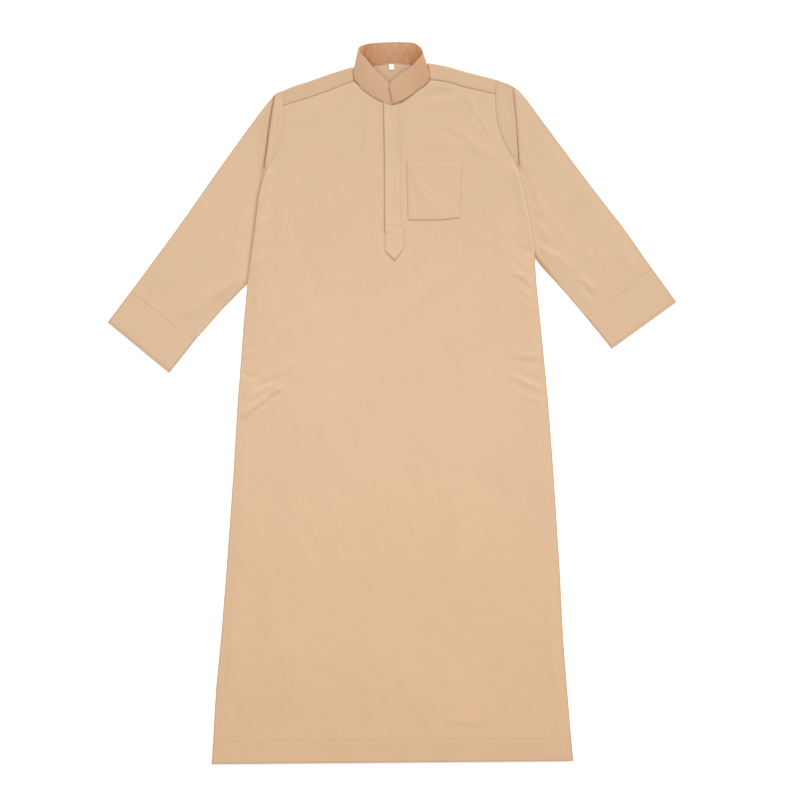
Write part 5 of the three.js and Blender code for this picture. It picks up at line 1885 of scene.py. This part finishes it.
@dataclass
class ChestPocket(Piece):
    """A patch pocket on the wearer's left breast, open at the top."""

    shape: FrontShape
    thickness: float = 0.85
    columns: int = 30
    rows: int = 32
    hem: float = 9.0
    top_y: float = 507.0
    left: tuple[float, float] = (31.0, 33.0)
    right: tuple[float, float] = (148.0, 144.0)
    foot: tuple[Point, ...] = ((33, 383.8), (52, 383.2), (105.5, 383.8), (128, 386.5), (144, 389))
    raised: float = 1.5
    sewn_inset: float = 1.9
    edge_shade: float = 0.35
    name = "pocket"
    node = "chest_pocket"
    flat = Cut(0.118, 0.124)
    rests_on = ("front_panel",)
    rim = 0.3

    def __post_init__(self) -> None:
        """Reads the foot."""
        self.foot_line = Line(self.foot)

    def height(self, x: float, y: float) -> float:
        """Outer height of the pocket.

        Args:
            x: Across the garment.
            y: Along it.

        Returns:
            Millimetres above the table.
        """
        t = clamp((self.top_y - y) / 120)
        from_left, from_right = x - mix(*self.left, t), mix(*self.right, t) - x
        near = min(from_left, from_right, y - self.foot_line.y_at(x))
        sewn = 0.5 * hill(max(0.0, near) / 2.2)
        open_edge = 0.35 * smooth((y - 470) / 36) * smooth(near / 14)
        hem = 0.3 * bump((y - self.top_y + self.hem) / 1.6)
        crease = 0.5 * bump((x + y * 0.55 - 305) / 9) * smooth(near / 16)
        soft = (0.35 * swell(x, y, 36, 8.8) + crease) * smooth(near / 12)
        return self.shape.height(x, y) + self.raised - sewn + open_edge - hem + soft

    def place(self, i: int, j: int) -> tuple[Vector, Point]:
        """Where a corner of the grid lies."""
        across, up = i / self.columns, j / self.rows
        foot_x = mix(self.left[1], self.right[1], across)
        x = mix(foot_x, mix(self.left[0], self.right[0], across), up)
        y = mix(self.foot_line.y_at(foot_x), self.top_y, up)
        return Vector((x, y, self.height(x, y))), (x, y)

    def tone(self, spot: Vector, i: int, j: int) -> float:
        """Painted shade darkens the three sewn edges."""
        return self.edge_shade if i in (0, self.columns) or j == 0 else 0.0

    def sew(self, sewing: Sewing) -> None:
        """Adds the run round the three sewn sides and the top hem's."""
        inset, top, hem_y = self.sewn_inset, self.top_y - 1, self.top_y - self.hem
        foot = [
            (x + (inset if x < 60 else -inset if x > 140 else 0), y + inset) for x, y in self.foot
        ]
        sides = (self.left[0] + inset, top), (self.right[0] - inset, top)
        sewing.along([sides[0], *foot, sides[1]], self.height)
        sewing.along([(33.5, hem_y), (145.5, hem_y)], self.height)


@dataclass
class NeckLabel(Piece):
    """A small blank label of white tape, folded in two and caught in the neck seam."""

    columns: int = 8
    left: float = -6.5
    right: float = 4.5
    top: float = 711.2
    bottom: float = 699.2
    floor: float = 1.25
    loop: float = 0.9
    thickness: float = 0.3
    stitched: tuple[float, ...] = (-5.8, -3.3, -0.9, 1.5, 3.9)
    name = "label"
    node = "neck_label"
    flat = Cut(0.011, 0.026)
    rests_on = ("yoke",)
    slot = Slot.LABEL
    stitch = Stitch(length=1.5, pitch=2.2, width=0.4)
    rim = 0.05

    def __post_init__(self) -> None:
        """Works out the strip's rows, which turn back under themselves at the bottom."""
        top = self.floor + self.loop
        roll = edge_roll(0.45)
        self.spots = [
            (self.top, self.floor),
            *[(self.bottom + inset, self.floor + self.loop * rise) for inset, rise in roll],
            *[
                (mix(self.bottom + 0.6, self.top, k / 8), top + 0.25 * math.sin(k / 8 * 3))
                for k in range(1, 9)
            ],
        ]

    def grid(self) -> tuple[int, int]:
        """Cells across and along."""
        return self.columns, len(self.spots) - 1

    def place(self, i: int, j: int) -> tuple[Vector, Point]:
        """Where a corner of the grid lies."""
        x = mix(self.left, self.right, i / self.columns)
        y, z = self.spots[j]
        return Vector((x, y, z + 0.12 * math.sin(i))), (x, j * 1.4)

    def sew(self, sewing: Sewing) -> None:
        """Adds the run that holds its top."""
        sewing.paths.append([Vector((x, self.top - 1.4, 2.45)) for x in self.stitched])


# ------------------------------------------------------------------ studio


@dataclass
class Studio:
    """A pale floor, broad soft lights and a camera that looks straight down."""

    centre: Point = (16.8, 6.3)
    span: float = 1680.0
    height: float = 5000.0
    sensor: float = 36.0
    far: float = 50.0
    sun_way: tuple[float, float, float] = (0.27, 0.815, 0.62)
    sun_power: float = 2.5
    sun_width: float = math.radians(28.0)
    lamp_spot: tuple[float, float, float] = (0.0, 0.0, 1.45)
    lamp_power: float = 8.2
    lamp_side: float = 1.0
    sky: float = 0.48
    floor_half: float = 9.0
    floor_drop: float = 0.0004

    def build(self) -> None:
        """Sets up the floor, the lights and the camera."""
        bm = bmesh.new()
        bmesh.ops.create_grid(bm, x_segments=8, y_segments=8, size=self.floor_half)
        bmesh.ops.translate(bm, verts=bm.verts, vec=(0, 0, -self.floor_drop))
        finished(bm, "floor", FloorFinish().material())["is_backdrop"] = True
        sun = self._light("key", "SUN", self.sun_way, self.sun_power)
        sun.data.angle = self.sun_width
        lamp = self._light("overhead", "AREA", self.lamp_spot, self.lamp_power)
        lamp.data.size = self.lamp_side
        lamp.location = self.lamp_spot
        world = bpy.data.worlds.new("studio")
        world.use_nodes = True
        backdrop = world.node_tree.nodes["Background"]
        backdrop.inputs["Color"].default_value = (1.0, 1.0, 1.0, 1.0)
        backdrop.inputs["Strength"].default_value = self.sky
        scene = bpy.context.scene
        scene.world = world
        scene.view_settings.view_transform = "Standard"
        scene.view_settings.look = "None"
        lens = bpy.data.cameras.new("camera")
        lens.sensor_width = self.sensor
        lens.lens = self.sensor * self.height / self.span
        lens.clip_end = self.far
        camera = bpy.data.objects.new("camera", lens)
        camera.location = (self.centre[0] * MM, self.centre[1] * MM, self.height * MM)
        scene.collection.objects.link(camera)
        scene.camera = camera

    @staticmethod
    def _light(name: str, kind: str, way: Colour, power: float) -> bpy.types.Object:
        """Hangs a light that faces the garment's middle.

        Args:
            name: Its name.
            kind: Its type.
            way: The way from the garment to the light.
            power: Its strength.

        Returns:
            The light.
        """
        lamp = bpy.data.lights.new(name, kind)
        lamp.energy = power
        light = bpy.data.objects.new(name, lamp)
        light.rotation_euler = (-Vector(way)).to_track_quat("-Z", "Y").to_euler()
        bpy.context.scene.collection.objects.link(light)
        return light


def main() -> None:
    """Sets up the studio, builds the garment piece by piece and measures its bounds."""
    wardrobe = Wardrobe.fresh()
    lay = Lay()
    shape = FrontShape(lay)
    Studio().build()
    arms: list[Piece] = []
    for cut in (SLEEVE_RIGHT, SLEEVE_LEFT):
        arms += [Sleeve(cut, lay), Cuff(cut)]
    closing = [CollarBand(), Placket(shape), UnderPlacket(lay), ChestPocket(shape), NeckLabel()]
    for piece in (BackPanel(lay), FrontPanel(shape), Yoke(shape), *arms, *closing):
        piece.build(wardrobe)
    boxes = {"cad": CAD_BOX, "visual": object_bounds()}
    {name: [list(corner) for corner in box] for name, box in boxes.items()}


if __name__ == "__main__":
    logging.basicConfig(level=logging.INFO, format="%(message)s")
    main()
